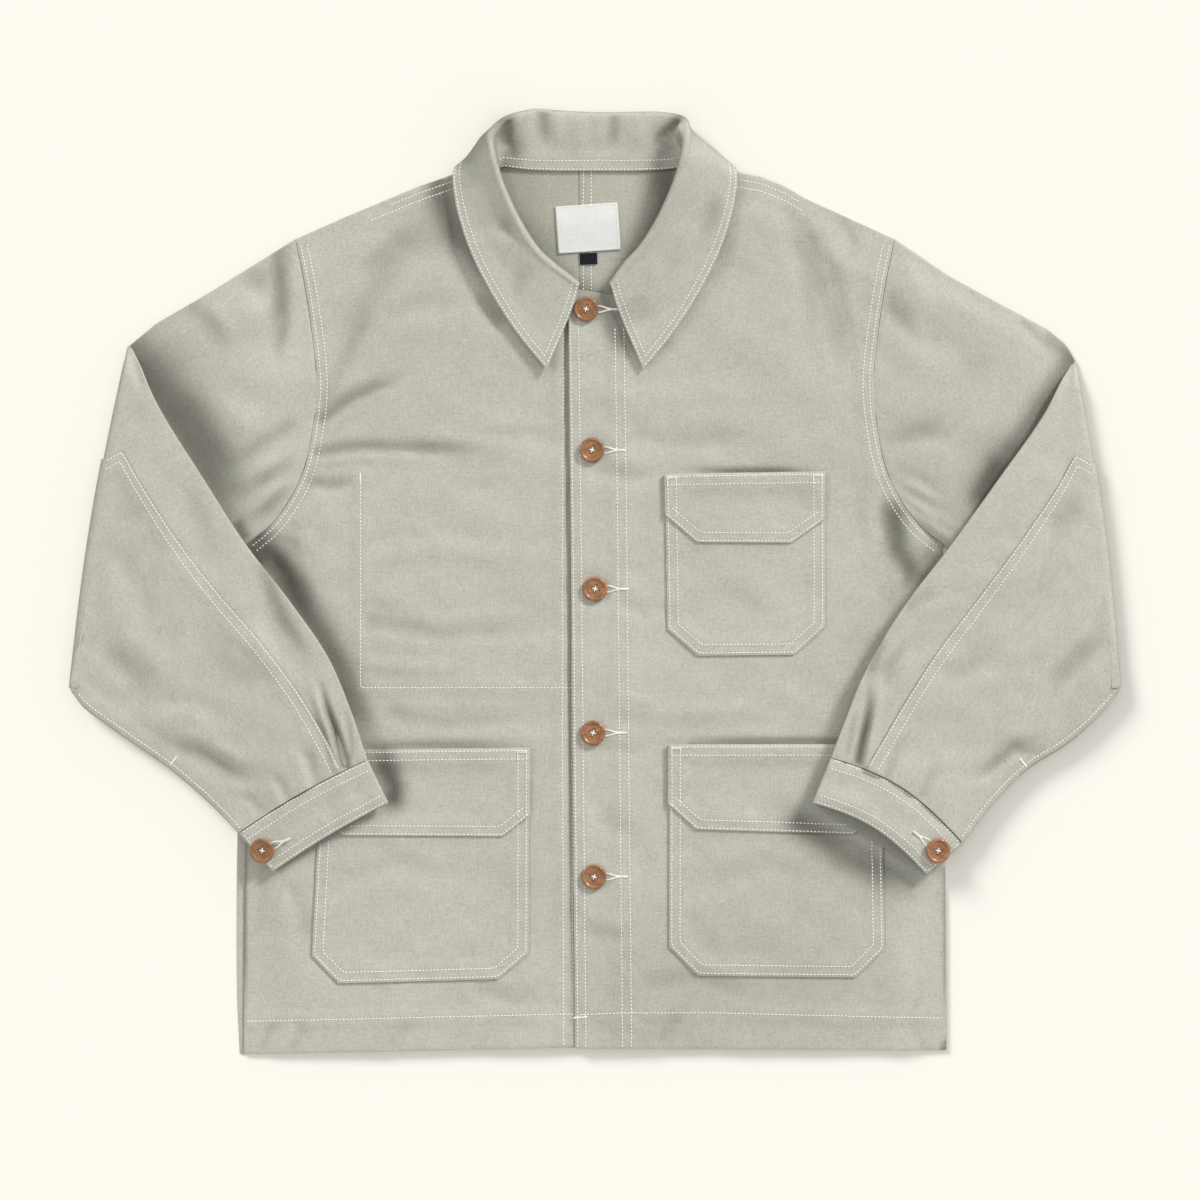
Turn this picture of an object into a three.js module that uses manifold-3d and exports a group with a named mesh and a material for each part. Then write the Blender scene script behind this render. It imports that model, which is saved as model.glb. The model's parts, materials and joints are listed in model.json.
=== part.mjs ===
// A chore jacket of heavy canvas, buttoned and laid flat on its back, with both sleeves folded in over the fronts.
// Millimetres. +X is to the right of someone who looks down at the jacket, +Y runs up to the collar and +Z is up,
// away from the surface it lies on. The origin is on that surface, under the middle of the jacket.
// Left and right are the wearer's, so the left front is at +X. It buttons over the right front.
import * as THREE from "three";
import Module from "manifold-3d";

const wasm = await Module();
wasm.setup();

// Cloth thicknesses and clearances.
const CLOTH = 1.2;
const DOUBLE_CLOTH = 2.0; // collar and cuffs, two layers pressed together
const SEAM = 0.3; // between pieces that are sewn together
const PATCH_GAP = 0.5; // under a piece that is sewn onto a curved one
const MOUTH_GAP = 0.9; // how far a pocket's mouth stands off its front

// Body, from the hem up to the shoulders.
const HEM_Y = { right: -376.8, centre: -372, left: -373.5 };
const CENTRE_EDGE = { over: { top: -21.5, hem: -16 }, under: 22 };
const CENTRE_BACK_X = -13;
const SIDE_X = { hem: 281.5, armpit: 279 };
const BACK_SHOWS = 3.5; // how far the back reaches past the fronts at the side seams
const NECK_FRONT_Y = 232;
const SHOULDER_NECK = { x: 77.5, y: 335.5 };
const SHOULDER_BULGE = {
  right: [[78, 0], [114, 6], [140, 6.4], [165, 5.3], [200, 3.5], [240, 0]],
  left: [[78, 0], [114, 7.5], [132, 11], [152, 10.4], [168, 6.9], [200, 3.9], [240, 0]],
};
const BACK_NECK_Y = 334;
const AIR = 2.5; // air between back and fronts, away from the seams
const AIR_RISE = 45; // distance from a seam over which that air builds up
const COLLAR_UNDER = 3.0; // lift of the back neck, over the turned-down collar

// The armhole, from shoulder tip to armpit, on the wearer's right. The left one mirrors it.
const ARMHOLE = [
  { x: 240, y: 276.5 },
  { x: 230.5, y: 228 },
  { x: 223, y: 166 },
  { x: 226.5, y: 121 },
  { x: 236, y: 84 },
  { x: 256, y: 51 },
  { x: 279, y: 31 },
];

// Fractions across a flattened sleeve, from its upper edge to its lower one. The armhole is sampled at the same ones.
const ACROSS = [0.025, 0.07, 0.11, 0.14, 0.18, 0.25, 0.4, 0.55, 0.7, 0.82, 0.91, 0.975];
const SLEEVE_CREASE = 0.015; // where the inner skin turns at each edge

// The sleeve beyond the fold, a row for each section: its inner and outer edges, how high the middle of the sleeve
// lies there, the air inside, how much of the pleat shows, where the elbow patch begins across it, and how far short of
// its edges the middle of the layer that shows stops.
const FOREARM = {
  right: [
    { ix: -374.4, iy: 191.2, ox: -420, oy: -84.8, iz: 9.6, oz: 9.6, air: 0.6, pleat: 0, patch: 0.33, short: 0 },
    { ix: -365, iy: 173.6, ox: -416.6, oy: -89.3, iz: 11, oz: 9.4, air: 1.4, pleat: 0, patch: 0.257, short: 0 },
    { ix: -348, iy: 140.8, ox: -410.4, oy: -97.6, iz: 13, oz: 9.2, air: 2.4, pleat: 0, patch: 0.25, short: 0 },
    { ix: -312, iy: 83.2, ox: -392, oy: -112, iz: 15.5, oz: 8.8, air: 3.4, pleat: 0, patch: 0.255, short: 0 },
    { ix: -280, iy: 33.6, ox: -368, oy: -128.8, iz: 17.5, oz: 8.4, air: 3.8, pleat: 0, patch: 0.246, short: 0 },
    { ix: -241, iy: -17, ox: -341.6, oy: -147.2, iz: 18.5, oz: 8, air: 3.8, pleat: 0, patch: 0.241, short: 0 },
    { ix: -211.5, iy: -61, ox: -316, oy: -168.8, iz: 19, oz: 8, air: 3.8, pleat: 0.1, patch: 0.242, short: 0 },
    { ix: -194.5, iy: -101.5, ox: -298.4, oy: -185.6, iz: 19, oz: 8.5, air: 3.6, pleat: 0.6, patch: 0.22, short: 1.5 },
    { ix: -181.5, iy: -140, ox: -285.6, oy: -199.2, iz: 18.5, oz: 9.5, air: 3.2, pleat: 1, patch: 0.195, short: 3 },
  ],
  left: [
    { ix: 384.8, iy: 177.6, ox: 420, oy: -84.8, iz: 9.6, oz: 9.6, air: 0.6, pleat: 0, patch: 0.31, short: 0 },
    { ix: 374.4, iy: 161.4, ox: 416.6, oy: -89.3, iz: 11, oz: 9.4, air: 1.4, pleat: 0, patch: 0.235, short: 0 },
    { ix: 356, iy: 131.2, ox: 410.4, oy: -97.6, iz: 13, oz: 9.2, air: 2.4, pleat: 0, patch: 0.24, short: 0 },
    { ix: 326.4, iy: 89.6, ox: 394.4, oy: -114.4, iz: 15.5, oz: 8.8, air: 3.4, pleat: 0, patch: 0.25, short: 0 },
    { ix: 284, iy: 31.2, ox: 373.6, oy: -131.2, iz: 17.5, oz: 8.4, air: 3.8, pleat: 0, patch: 0.257, short: 0 },
    { ix: 244, iy: -21.5, ox: 348, oy: -147.2, iz: 18.5, oz: 8, air: 3.8, pleat: 0, patch: 0.275, short: 1.5 },
    { ix: 214.5, iy: -71.5, ox: 326.4, oy: -167.2, iz: 19, oz: 8.5, air: 4.4, pleat: 0.1, patch: 0.28, short: 4 },
    { ix: 200, iy: -107.2, ox: 308, oy: -188.8, iz: 19, oz: 9.5, air: 5, pleat: 0.6, patch: 0.264, short: 8 },
    { ix: 188, iy: -138.4, ox: 294.4, oy: -207.2, iz: 19, oz: 10.5, air: 6, pleat: 1, patch: 0.24, short: 11 },
  ],
};
const FOLD_RADIUS = 4; // from the fold's axis to the middle of the sleeve
const FOLD_STEPS = 4;
const FOLD_BOW = 5; // how far the fold bulges outwards halfway along
const UPPER_ARM_STEPS = 6;
const UPPER_ARM_BILLOW = 1.6;
const ARM_BULGE = {
  right: [[0, 0], [0.5, 1.2], [0.83, 3.6], [1, 0.5]],
  left: [[0, 0], [0.3, 0.5], [0.5, 5], [0.67, 10], [0.83, 14], [1, 8]],
};
const PLEAT = { at: 0.14, depth: 1.6, width: 0.022 };

// The cuffs, a row for each section beyond the end of the sleeve, as above.
const CUFF = {
  right: [
    { ix: -181.2, iy: -140.5, ox: -285.2, oy: -199.7, iz: 18.5, oz: 10, air: 2.4, short: 3 },
    { ix: -173, iy: -157.3, ox: -272, oy: -215, iz: 18.5, oz: 10, air: 2.6, short: 2.5 },
    { ix: -164.8, iy: -174.4, ox: -258.4, oy: -230.4, iz: 18.5, oz: 10, air: 2.8, short: 2 },
  ],
  left: [
    { ix: 187.7, iy: -138.9, ox: 294, oy: -207.7, iz: 19, oz: 11, air: 5.6, short: 11 },
    { ix: 180.4, iy: -156.4, ox: 280, oy: -220.2, iz: 19, oz: 11.5, air: 7.4, short: 10 },
    { ix: 172.8, iy: -174.4, ox: 265.6, oy: -232.8, iz: 19, oz: 12, air: 9, short: 9.5 },
  ],
};

// The collar from the centre back to its point, a row for each section, on the wearer's left: the neck seam n, the
// roll line r, the free edge f, and the tilt of the roll, from 0 lying back to 90 standing up.
const COLLAR = [
  { nx: 0, ny: 331, nz: 5.5, rx: 0, ry: 378, rz: 5, fx: 0, fy: 300, fz: 1.05, tilt: 0 },
  { nx: 30, ny: 331, nz: 5.5, rx: 32, ry: 378, rz: 5.1, fx: 34, fy: 300, fz: 1.05, tilt: 0 },
  { nx: 54, ny: 332, nz: 5.6, rx: 56, ry: 377, rz: 6.5, fx: 64, fy: 303, fz: 1.05, tilt: 8 },
  { nx: 68, ny: 334, nz: 6, rx: 70, ry: 373, rz: 13, fx: 86, fy: 313, fz: 1.1, tilt: 30 },
  { nx: 73, ny: 335, nz: 6.5, rx: 76, ry: 366, rz: 20, fx: 99, fy: 331, fz: 1.4, tilt: 52 },
  { nx: 76, ny: 334, nz: 7, rx: 79, ry: 357, rz: 25, fx: 109.5, fy: 335, fz: 4, tilt: 72 },
  { nx: 78, ny: 327, nz: 7.5, rx: 77, ry: 343, rz: 28, fx: 113.5, fy: 327.5, fz: 9.8, tilt: 85 },
  { nx: 77, ny: 315, nz: 8, rx: 73, ry: 327, rz: 27, fx: 112, fy: 308, fz: 12, tilt: 90 },
  { nx: 72, ny: 298, nz: 8, rx: 66, ry: 308, rz: 25, fx: 107, fy: 287, fz: 13, tilt: 90 },
  { nx: 63, ny: 279, nz: 8, rx: 56, ry: 287, rz: 21, fx: 98, fy: 262, fz: 12.5, tilt: 90 },
  { nx: 49, ny: 260, nz: 8, rx: 43, ry: 267, rz: 17.5, fx: 82, fy: 231, fz: 11.5, tilt: 90 },
  { nx: 33, ny: 244, nz: 8, rx: 28, ry: 252, rz: 15, fx: 61, fy: 199, fz: 10.5, tilt: 90 },
  { nx: 17, ny: 232, nz: 8, rx: 13, ry: 238, rz: 13, fx: 38.5, fy: 171.5, fz: 10, tilt: 90 },
];
const NECK_CENTRE = { x: 0, y: 296 };
const ROLL_RADIUS = { back: 4, front: 3.2 };
const COLLAR_PARTS = { stand: 4, roll: 4, fall: 6 };

// Pockets and the shaped facing across each mouth: both side edges from the mouth down to the cut-off corner.
const POCKETS = [
  {
    name: "chest_pocket",
    pocket: { from: [[56, 88.3], [57.9, -36.2], [82.4, -57.6]], to: [[183.8, 90.2], [184.3, -34.7], [159.8, -56.8]] },
    facing: { from: [[55.4, 88.3], [56, 55.2], [81.8, 33.2]], to: [[184.4, 90.2], [183.6, 51.5], [157.1, 32.8]] },
  },
  {
    name: "left_hip_pocket",
    pocket: { from: [[59.4, -128.2], [59.2, -290.4], [82.2, -313.9]], to: [[229.6, -128], [231.6, -292.5], [208.7, -315.2]] },
    facing: { from: [[58.6, -128.2], [58.2, -176], [81.2, -196.6]], to: [[230.4, -128], [230.4, -181], [206.7, -200.6]] },
  },
  {
    name: "right_hip_pocket",
    pocket: { from: [[-52.8, -131], [-53.2, -295.7], [-77.4, -316.5]], to: [[-218.4, -132.8], [-226.9, -297.6], [-205.2, -320]] },
    facing: { from: [[-52, -131], [-52.4, -185.3], [-74, -202.2]], to: [[-219.2, -132.8], [-222.4, -186], [-197.6, -201.3]] },
  },
];
const POCKET_ROWS = [6, 1];
const FACING_ROWS = [2, 1];
const POCKET_COLUMNS = 7;

// Broad soft folds in the fronts: a line along each, how wide it is and how far it stands up or sinks in.
const FOLDS = [
  { x0: -222, y0: 130, x1: -120, y1: 185, width: 16, height: -1.0 },
  { x0: -225, y0: 118, x1: -40, y1: 122, width: 15, height: -0.9 },
  { x0: -205, y0: 96, x1: -60, y1: 100, width: 16, height: 0.8 },
  { x0: -165, y0: -18, x1: -40, y1: -32, width: 14, height: -0.9 },
  { x0: -175, y0: -100, x1: -50, y1: -96, width: 14, height: -0.8 },
  { x0: 172, y0: 270, x1: 205, y1: 175, width: 15, height: -1.2 },
  { x0: 214, y0: 60, x1: 236, y1: -20, width: 14, height: -1.0 },
  { x0: 240, y0: -250, x1: 250, y1: -340, width: 13, height: 0.8 },
];

// Buttons and labels.
const BUTTON = { radius: 10, thick: 3.4, rim: 2.2, dish: 1, hole: 1, holePitch: 3.8, stand: 0.5, sides: 18 };
const FRONT_BUTTONS = [
  { x: -7.2, y: 220 },
  { x: -2.4, y: 107.2 },
  { x: 0, y: -4 },
  { x: -1.6, y: -119.2 },
  { x: -0.8, y: -234.4 },
];
const CUFF_BUTTONS = { right: { x: -265.6, y: -212.8 }, left: { x: 273.6, y: -212.8 } };
const BUTTON_SPREAD = 6; // how far round a cuff button the slope of its cuff is taken
const LABEL = { x: -5.6, y: 285.2, width: 50, height: 37.6, thick: 1, turn: 4 };
const SIZE_TAB = { x: -5.2, y: 260.8, width: 14, height: 9, thick: 1, turn: 2 };

const CANVAS = new THREE.MeshStandardMaterial({ color: 0xc1bfb2, roughness: 0.95, metalness: 0 });
const COROZO = new THREE.MeshStandardMaterial({ color: 0xa4764f, roughness: 0.45, metalness: 0 });
const WHITE_TAPE = new THREE.MeshStandardMaterial({ color: 0xe9e8e2, roughness: 0.9, metalness: 0 });
const BLACK_TAPE = new THREE.MeshStandardMaterial({ color: 0x1c1d22, roughness: 0.85, metalness: 0 });

const UP = new THREE.Vector3(0, 0, 1);
const SIDE = { right: -1, left: 1 };
const mix = THREE.MathUtils.lerp;
const ease = (t) => THREE.MathUtils.smoothstep(t, 0, 1);
const vec = (x, y, z = 0) => new THREE.Vector3(x, y, z);

// A point of the body's plan, moved up by its share of the shoulder's bulge.
function bulged(p) {
  const bulge = lookUp(SHOULDER_BULGE[p.x < 0 ? "right" : "left"], Math.abs(p.x));
  const straight = shoulderY(p.x) - bulge;
  return p.setY(p.y + bulge * ease((p.y - straight + 60) / 60));
}

// A closed wall between two grids of points of one size. wrap joins the last column to the first, as in a tube.
function wall(outer, inner, wrap = false) {
  const rows = outer.length;
  const columns = outer[0].length;
  const lastRow = rows - 1;
  const lastColumn = columns - 1;
  const at = (skin, r, c) => skin * rows * columns + r * columns + (c % columns);
  const faces = [];
  const quad = (a, b, c, d) => faces.push(a, b, c, a, c, d);
  for (let c = 0; c < (wrap ? columns : lastColumn); c++) {
    for (let r = 0; r < lastRow; r++) {
      quad(at(0, r, c), at(0, r, c + 1), at(0, r + 1, c + 1), at(0, r + 1, c));
      quad(at(1, r, c), at(1, r + 1, c), at(1, r + 1, c + 1), at(1, r, c + 1));
    }
    quad(at(0, 0, c), at(1, 0, c), at(1, 0, c + 1), at(0, 0, c + 1));
    quad(at(0, lastRow, c + 1), at(1, lastRow, c + 1), at(1, lastRow, c), at(0, lastRow, c));
  }
  for (let r = 0; r < lastRow && !wrap; r++) {
    quad(at(0, r, 0), at(0, r + 1, 0), at(1, r + 1, 0), at(1, r, 0));
    quad(at(0, r, lastColumn), at(1, r, lastColumn), at(1, r + 1, lastColumn), at(0, r + 1, lastColumn));
  }
  return facingOut([...outer.flat(), ...inner.flat()], faces);
}

// A geometry of these points and faces, turned round if it came out inside out.
function facingOut(points, faces) {
  let volume = 0;
  for (let i = 0; i < faces.length; i += 3) {
    const [a, b, c] = [points[faces[i]], points[faces[i + 1]], points[faces[i + 2]]];
    volume += a.dot(b.clone().cross(c));
  }
  const geometry = new THREE.BufferGeometry().setFromPoints(points);
  return geometry.setIndex(volume < 0 ? faces.toReversed() : faces);
}

function mesh(name, geometry, material) {
  const made = new THREE.Mesh(geometry, material);
  made.name = name;
  return made;
}

// The value at x in a table of [x, value] rows.
function lookUp(table, x) {
  const i = THREE.MathUtils.clamp(table.findIndex((row) => row[0] >= x), 1, table.length - 1);
  const [[x0, v0], [x1, v1]] = [table[i - 1], table[i]];
  return mix(v0, v1, THREE.MathUtils.clamp((x - x0) / (x1 - x0), 0, 1));
}

// The points of an edge through its knots, with steps[i] equal parts from knot i to the next.
function alongKnots(knots, steps) {
  const points = [knots[0].clone()];
  steps.forEach((count, i) => {
    for (let k = 1; k <= count; k++) points.push(knots[i].clone().lerp(knots[i + 1], k / count));
  });
  return points;
}

// A sheet of cloth spanned between two edges of the same number of points. under(x, y) is the height of its underside.
function sheet(from, to, columns, under, thickness = CLOTH) {
  const plan = from.map((a, r) => columns.map((s) => bulged(a.clone().lerp(to[r], s))));
  const lower = plan.map((row) => row.map((p) => vec(p.x, p.y, under(p.x, p.y))));
  const upper = lower.map((row) => row.map((p) => vec(p.x, p.y, p.z + thickness)));
  return wall(upper, lower);
}

const evenly = (count) => Array.from({ length: count + 1 }, (_, i) => i / count);

// Heights of the cloth over the surface.
function shoulderY(x) {
  const straight = mix(SHOULDER_NECK.y, ARMHOLE[0].y, (Math.abs(x) - SHOULDER_NECK.x) / (ARMHOLE[0].x - SHOULDER_NECK.x));
  return straight + lookUp(SHOULDER_BULGE[x < 0 ? "right" : "left"], Math.abs(x));
}

const backUnder = (x, y) => COLLAR_UNDER * ease((y - 260) / 36) * ease((180 - Math.abs(x)) / 60);

const backTop = (x, y) => backUnder(x, y) + CLOTH;

// Height that the broad folds add at a point.
function foldsAt(x, y) {
  const point = vec(x, y);
  return FOLDS.reduce((sum, f) => {
    const line = new THREE.Line3(vec(f.x0, f.y0), vec(f.x1, f.y1));
    const away = line.closestPointToPoint(point, true, vec(0, 0)).distanceTo(point) / f.width;
    return sum + f.height * Math.exp(-away * away);
  }, 0);
}

// Underside of a front: the back, a seam's clearance and the air between them, which dies out at the seams.
function frontUnder(x, y) {
  const fromSide = ease((SIDE_X.armpit + 2 - Math.abs(x)) / AIR_RISE);
  const fromShoulder = ease((shoulderY(x) - y) / AIR_RISE);
  return backTop(x, y) + SEAM + (AIR + foldsAt(x, y)) * fromSide * fromShoulder;
}

// The left front lies over the right one at the centre, and comes down beyond its edge, later towards the neck.
const OVERLAP = { ends: 23, endsAtNeck: 56, slope: 32, from: 120, to: 200 };

function leftFrontUnder(x, y) {
  const ends = mix(OVERLAP.ends, OVERLAP.endsAtNeck, ease((y - OVERLAP.from) / (OVERLAP.to - OVERLAP.from)));
  return frontUnder(x, y) + (CLOTH + SEAM) * THREE.MathUtils.clamp((ends - x) / OVERLAP.slope + 1, 0, 1);
}

// Height of the top of these meshes at a point.
function topOf(meshes, x, y) {
  const hit = new THREE.Raycaster(vec(x, y, 200), UP.clone().negate()).intersectObjects(meshes)[0];
  return hit.point.z;
}

// The armhole seam of one side, at a fraction from the shoulder tip to the armpit.
function armhole(side) {
  const curve = new THREE.SplineCurve(ARMHOLE.map((p) => new THREE.Vector2(side * p.x, p.y)));
  return (s) => {
    const p = curve.getPointAt(s);
    return vec(p.x, p.y);
  };
}

// Outward from the neck, level, at a point of the collar or neckline.
const outOfNeck = (x, y) => vec(x - NECK_CENTRE.x, y - NECK_CENTRE.y).normalize();

// The neckline of a front, from the collar's end up to the shoulder, just outside the collar's neck seam.
function frontNeckline(side) {
  const rows = COLLAR.slice(5).reverse();
  const off = DOUBLE_CLOTH / 2 + SEAM + 0.1;
  return rows.map((row) => {
    const p = vec(side * row.nx, row.ny);
    return p.addScaledVector(outOfNeck(p.x, p.y), off);
  });
}

const BODY_STEPS = 9; // rows from the hem to the armpit
const ARM_ROWS = ACROSS.length + 1; // rows from the armpit to the shoulder tip

const sideEdge = (side, past) => [
  ...alongKnots(
    [vec(side * (SIDE_X.hem + past), HEM_Y[side < 0 ? "right" : "left"]), vec(side * SIDE_X.armpit, ARMHOLE.at(-1).y)],
    [BODY_STEPS],
  ),
  ...[...ACROSS].reverse().concat(0).map(armhole(side)),
];

// A front, spanned from its centre edge and neckline to its side seam and armhole.
function front(name, side, centreHem, centreTop, columns, under) {
  const neck = frontNeckline(side);
  const level = mix(centreHem.x, centreTop.x, 0.6);
  const straight = ARM_ROWS - neck.length;
  const centre = alongKnots([centreHem, vec(level, ARMHOLE.at(-1).y), centreTop], [BODY_STEPS, straight]);
  return mesh(name, sheet([...centre, ...neck], sideEdge(side, 0), columns, under), CANVAS);
}

function fronts() {
  const left = front(
    "left_front",
    SIDE.left,
    vec(CENTRE_EDGE.over.hem, HEM_Y.centre),
    vec(CENTRE_EDGE.over.top, NECK_FRONT_Y),
    [0, 0.14, 0.25, 0.42, 0.57, 0.7, 0.8, 0.86, 0.92, 0.97, 1],
    leftFrontUnder,
  );
  const right = front(
    "right_front",
    SIDE.right,
    vec(CENTRE_EDGE.under, HEM_Y.centre + 1.5),
    vec(CENTRE_EDGE.under, NECK_FRONT_Y),
    [0, 0.16, 0.3, 0.44, 0.58, 0.7, 0.8, 0.86, 0.92, 0.97, 1],
    frontUnder,
  );
  return { left, right };
}

// Half of the back, from the centre-back seam to the side seam and armhole. It lies flat but for the neck.
function back(name, side) {
  const seam = CENTRE_BACK_X + (side * SEAM) / 2;
  const edge = sideEdge(side, 0);
  edge.slice(0, BODY_STEPS).forEach((p) => (p.x += side * BACK_SHOWS));
  const neck = COLLAR.slice(1, 5).map((row) => vec(side * row.nx, BACK_NECK_Y));
  const straight = ARM_ROWS - neck.length;
  const centre = alongKnots(
    [vec(seam, HEM_Y.centre + 1), vec(seam, 60), vec(seam, 268), vec(seam, BACK_NECK_Y)],
    [BODY_STEPS, straight - 4, 4],
  );
  const rows = [...centre, ...neck];
  rows[rows.length - 1] = vec(side * SHOULDER_NECK.x, SHOULDER_NECK.y);
  return mesh(name, sheet(rows, edge, [0, 0.15, 0.3, 0.45, 0.6, 0.8, 1], backUnder), CANVAS);
}

// How a flattened sleeve is filled out across its width, from 0 at its edges to 1 in the middle.
const fullness = (s) => Math.pow(Math.sin(Math.PI * s), 0.6);

// The way back from the cuff end of these sections, level.
const awayFromCuff = (rows) => vec(rows.at(-3).ix - rows.at(-1).ix, rows.at(-3).iy - rows.at(-1).iy).normalize();

// The sections of one sleeve. Each has its middle line, the way from there to the layer that was in front before the
// fold, and half the sleeve's height there.
function sleeveSections(sideName) {
  const side = SIDE[sideName];
  const seam = armhole(side);
  const rows = FOREARM[sideName];
  const first = rows[0];
  const away = awayFromCuff(rows);
  const halfFold = CLOTH + (SEAM + first.air) / 2;
  const axisHeight = halfFold + FOLD_RADIUS;
  const inwards = vec(-side, 0);
  const foldLine = (s) => {
    const p = vec(mix(first.ix, first.ox, s), mix(first.iy, first.oy, s));
    const bow = FOLD_BOW * Math.sin(Math.PI * s);
    return p.addScaledVector(inwards, FOLD_RADIUS + halfFold - bow);
  };
  const bulge = (t, s) => vec(side * 0.5, 0.866).multiplyScalar(lookUp(ARM_BULGE[sideName], t) * (1 - s) ** 3);
  const sections = [];
  for (let k = 0; k < UPPER_ARM_STEPS; k++) {
    const t = k / UPPER_ARM_STEPS;
    const half = (s) => {
      const p = seam(s);
      const atSeam = (frontUnder(p.x, p.y) + CLOTH) / 2;
      return mix(atSeam, halfFold, t) + UPPER_ARM_BILLOW * Math.sin(Math.PI * t) * fullness(s);
    };
    const mid = (s) => {
      const p = seam(s);
      const along = seam(Math.min(s + 0.01, 1)).sub(seam(Math.max(s - 0.01, 0))).normalize();
      const clear = vec(side * -along.y, side * along.x).multiplyScalar((SEAM + 0.1) * (1 - t));
      return p.add(clear).lerp(foldLine(s), t).add(bulge(t, s)).setZ(half(s));
    };
    sections.push({ mid, half, normal: UP, row: null, away });
  }
  for (let k = 0; k <= FOLD_STEPS; k++) {
    const angle = (Math.PI * k) / FOLD_STEPS;
    const normal = UP.clone().multiplyScalar(Math.cos(angle)).addScaledVector(inwards, Math.sin(angle));
    const mid = (s) =>
      foldLine(s)
        .setZ(axisHeight)
        .addScaledVector(normal, -FOLD_RADIUS)
        .addScaledVector(bulge(1, s), 1 - k / FOLD_STEPS);
    sections.push({ mid, half: () => halfFold, normal, row: k >= FOLD_STEPS / 2 ? first : null, away });
  }
  for (const row of rows.slice(1)) {
    const mid = (s) => vec(mix(row.ix, row.ox, s), mix(row.iy, row.oy, s), mix(row.iz, row.oz, s));
    const half = (s) => CLOTH + SEAM / 2 + (row.air / 2) * fullness(s);
    sections.push({ mid, half, normal: UP.clone().negate(), row, away });
  }
  return sections;
}

// Height of the pleat's ridge and trough on the layer that shows.
function pleatAt(row, s) {
  const off = (s - PLEAT.at) / PLEAT.width;
  return row ? row.pleat * PLEAT.depth * (0.6 * Math.exp(-((off + 1.6) ** 2)) - Math.exp(-(off * off))) : 0;
}

// A point of the layer that shows beyond the fold, off its skin by a distance.
function shownPoint({ mid, half, normal, row, away }, s, distance) {
  const short = row ? row.short * Math.sin(Math.PI * s) : 0;
  return mid(s).addScaledVector(away, short).addScaledVector(normal, -half(s) - pleatAt(row, s) - distance);
}

// One ring of points round a section. inset is 0 for the outer skin, and the wall's thickness for the inner one.
function ring(section, inset) {
  const { mid, half, normal } = section;
  const crease = inset ? SLEEVE_CREASE : 0;
  const hidden = ACROSS.map((s) => mid(s).addScaledVector(normal, half(s) - inset));
  const shown = ACROSS.map((s) => shownPoint(section, s, -inset));
  return [mid(crease), ...hidden, mid(1 - crease), ...shown.reverse()];
}

function sleeve(name, sections) {
  const outer = sections.map((section) => ring(section, 0));
  const inner = sections.map((section) => ring(section, CLOTH));
  return mesh(name, wall(outer, inner, true), CANVAS);
}

// A point of the sleeve's shown layer, off the sleeve by a distance, on the flat faces between the ring's points.
function offSleeve(section, s, distance) {
  const k = Math.max(1, ACROSS.findIndex((c) => c >= s));
  const [a, b] = [ACROSS[k - 1], ACROSS[k]];
  return shownPoint(section, a, distance).lerp(shownPoint(section, b, distance), (s - a) / (b - a));
}

// The patch that doubles the sleeve from the elbow to the cuff. It starts at the outermost line of the fold.
function elbowPatch(name, sections) {
  const covered = sections.filter((section) => section.row);
  const across = ACROSS.filter((s) => s >= 0.4);
  const skin = (distance) =>
    covered.map((section) => [section.row.patch, ...across].map((s) => offSleeve(section, s, distance)));
  return mesh(name, wall(skin(PATCH_GAP + CLOTH), skin(PATCH_GAP)), CANVAS);
}

// A cuff, a ring of doubled cloth beyond the sleeve's end. The layer that shows stops short in the middle, where the
// mouth gapes.
function cuff(name, rows) {
  const away = awayFromCuff(rows);
  const skin = (inset) =>
    rows.map((row) => {
      const half = (s) => DOUBLE_CLOTH + SEAM / 2 + (row.air / 2) * fullness(s) - inset;
      const mid = (s) => vec(mix(row.ix, row.ox, s), mix(row.iy, row.oy, s), mix(row.iz, row.oz, s));
      const shown = ACROSS.map((s) =>
        mid(s).addScaledVector(UP, half(s)).addScaledVector(away, row.short * Math.sin(Math.PI * s)),
      );
      const hidden = ACROSS.map((s) => mid(s).addScaledVector(UP, -half(s)));
      const crease = inset ? SLEEVE_CREASE : 0;
      return [mid(crease), ...shown, mid(1 - crease), ...hidden.reverse()];
    });
  return mesh(name, wall(skin(0), skin(DOUBLE_CLOTH), true), CANVAS);
}

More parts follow.
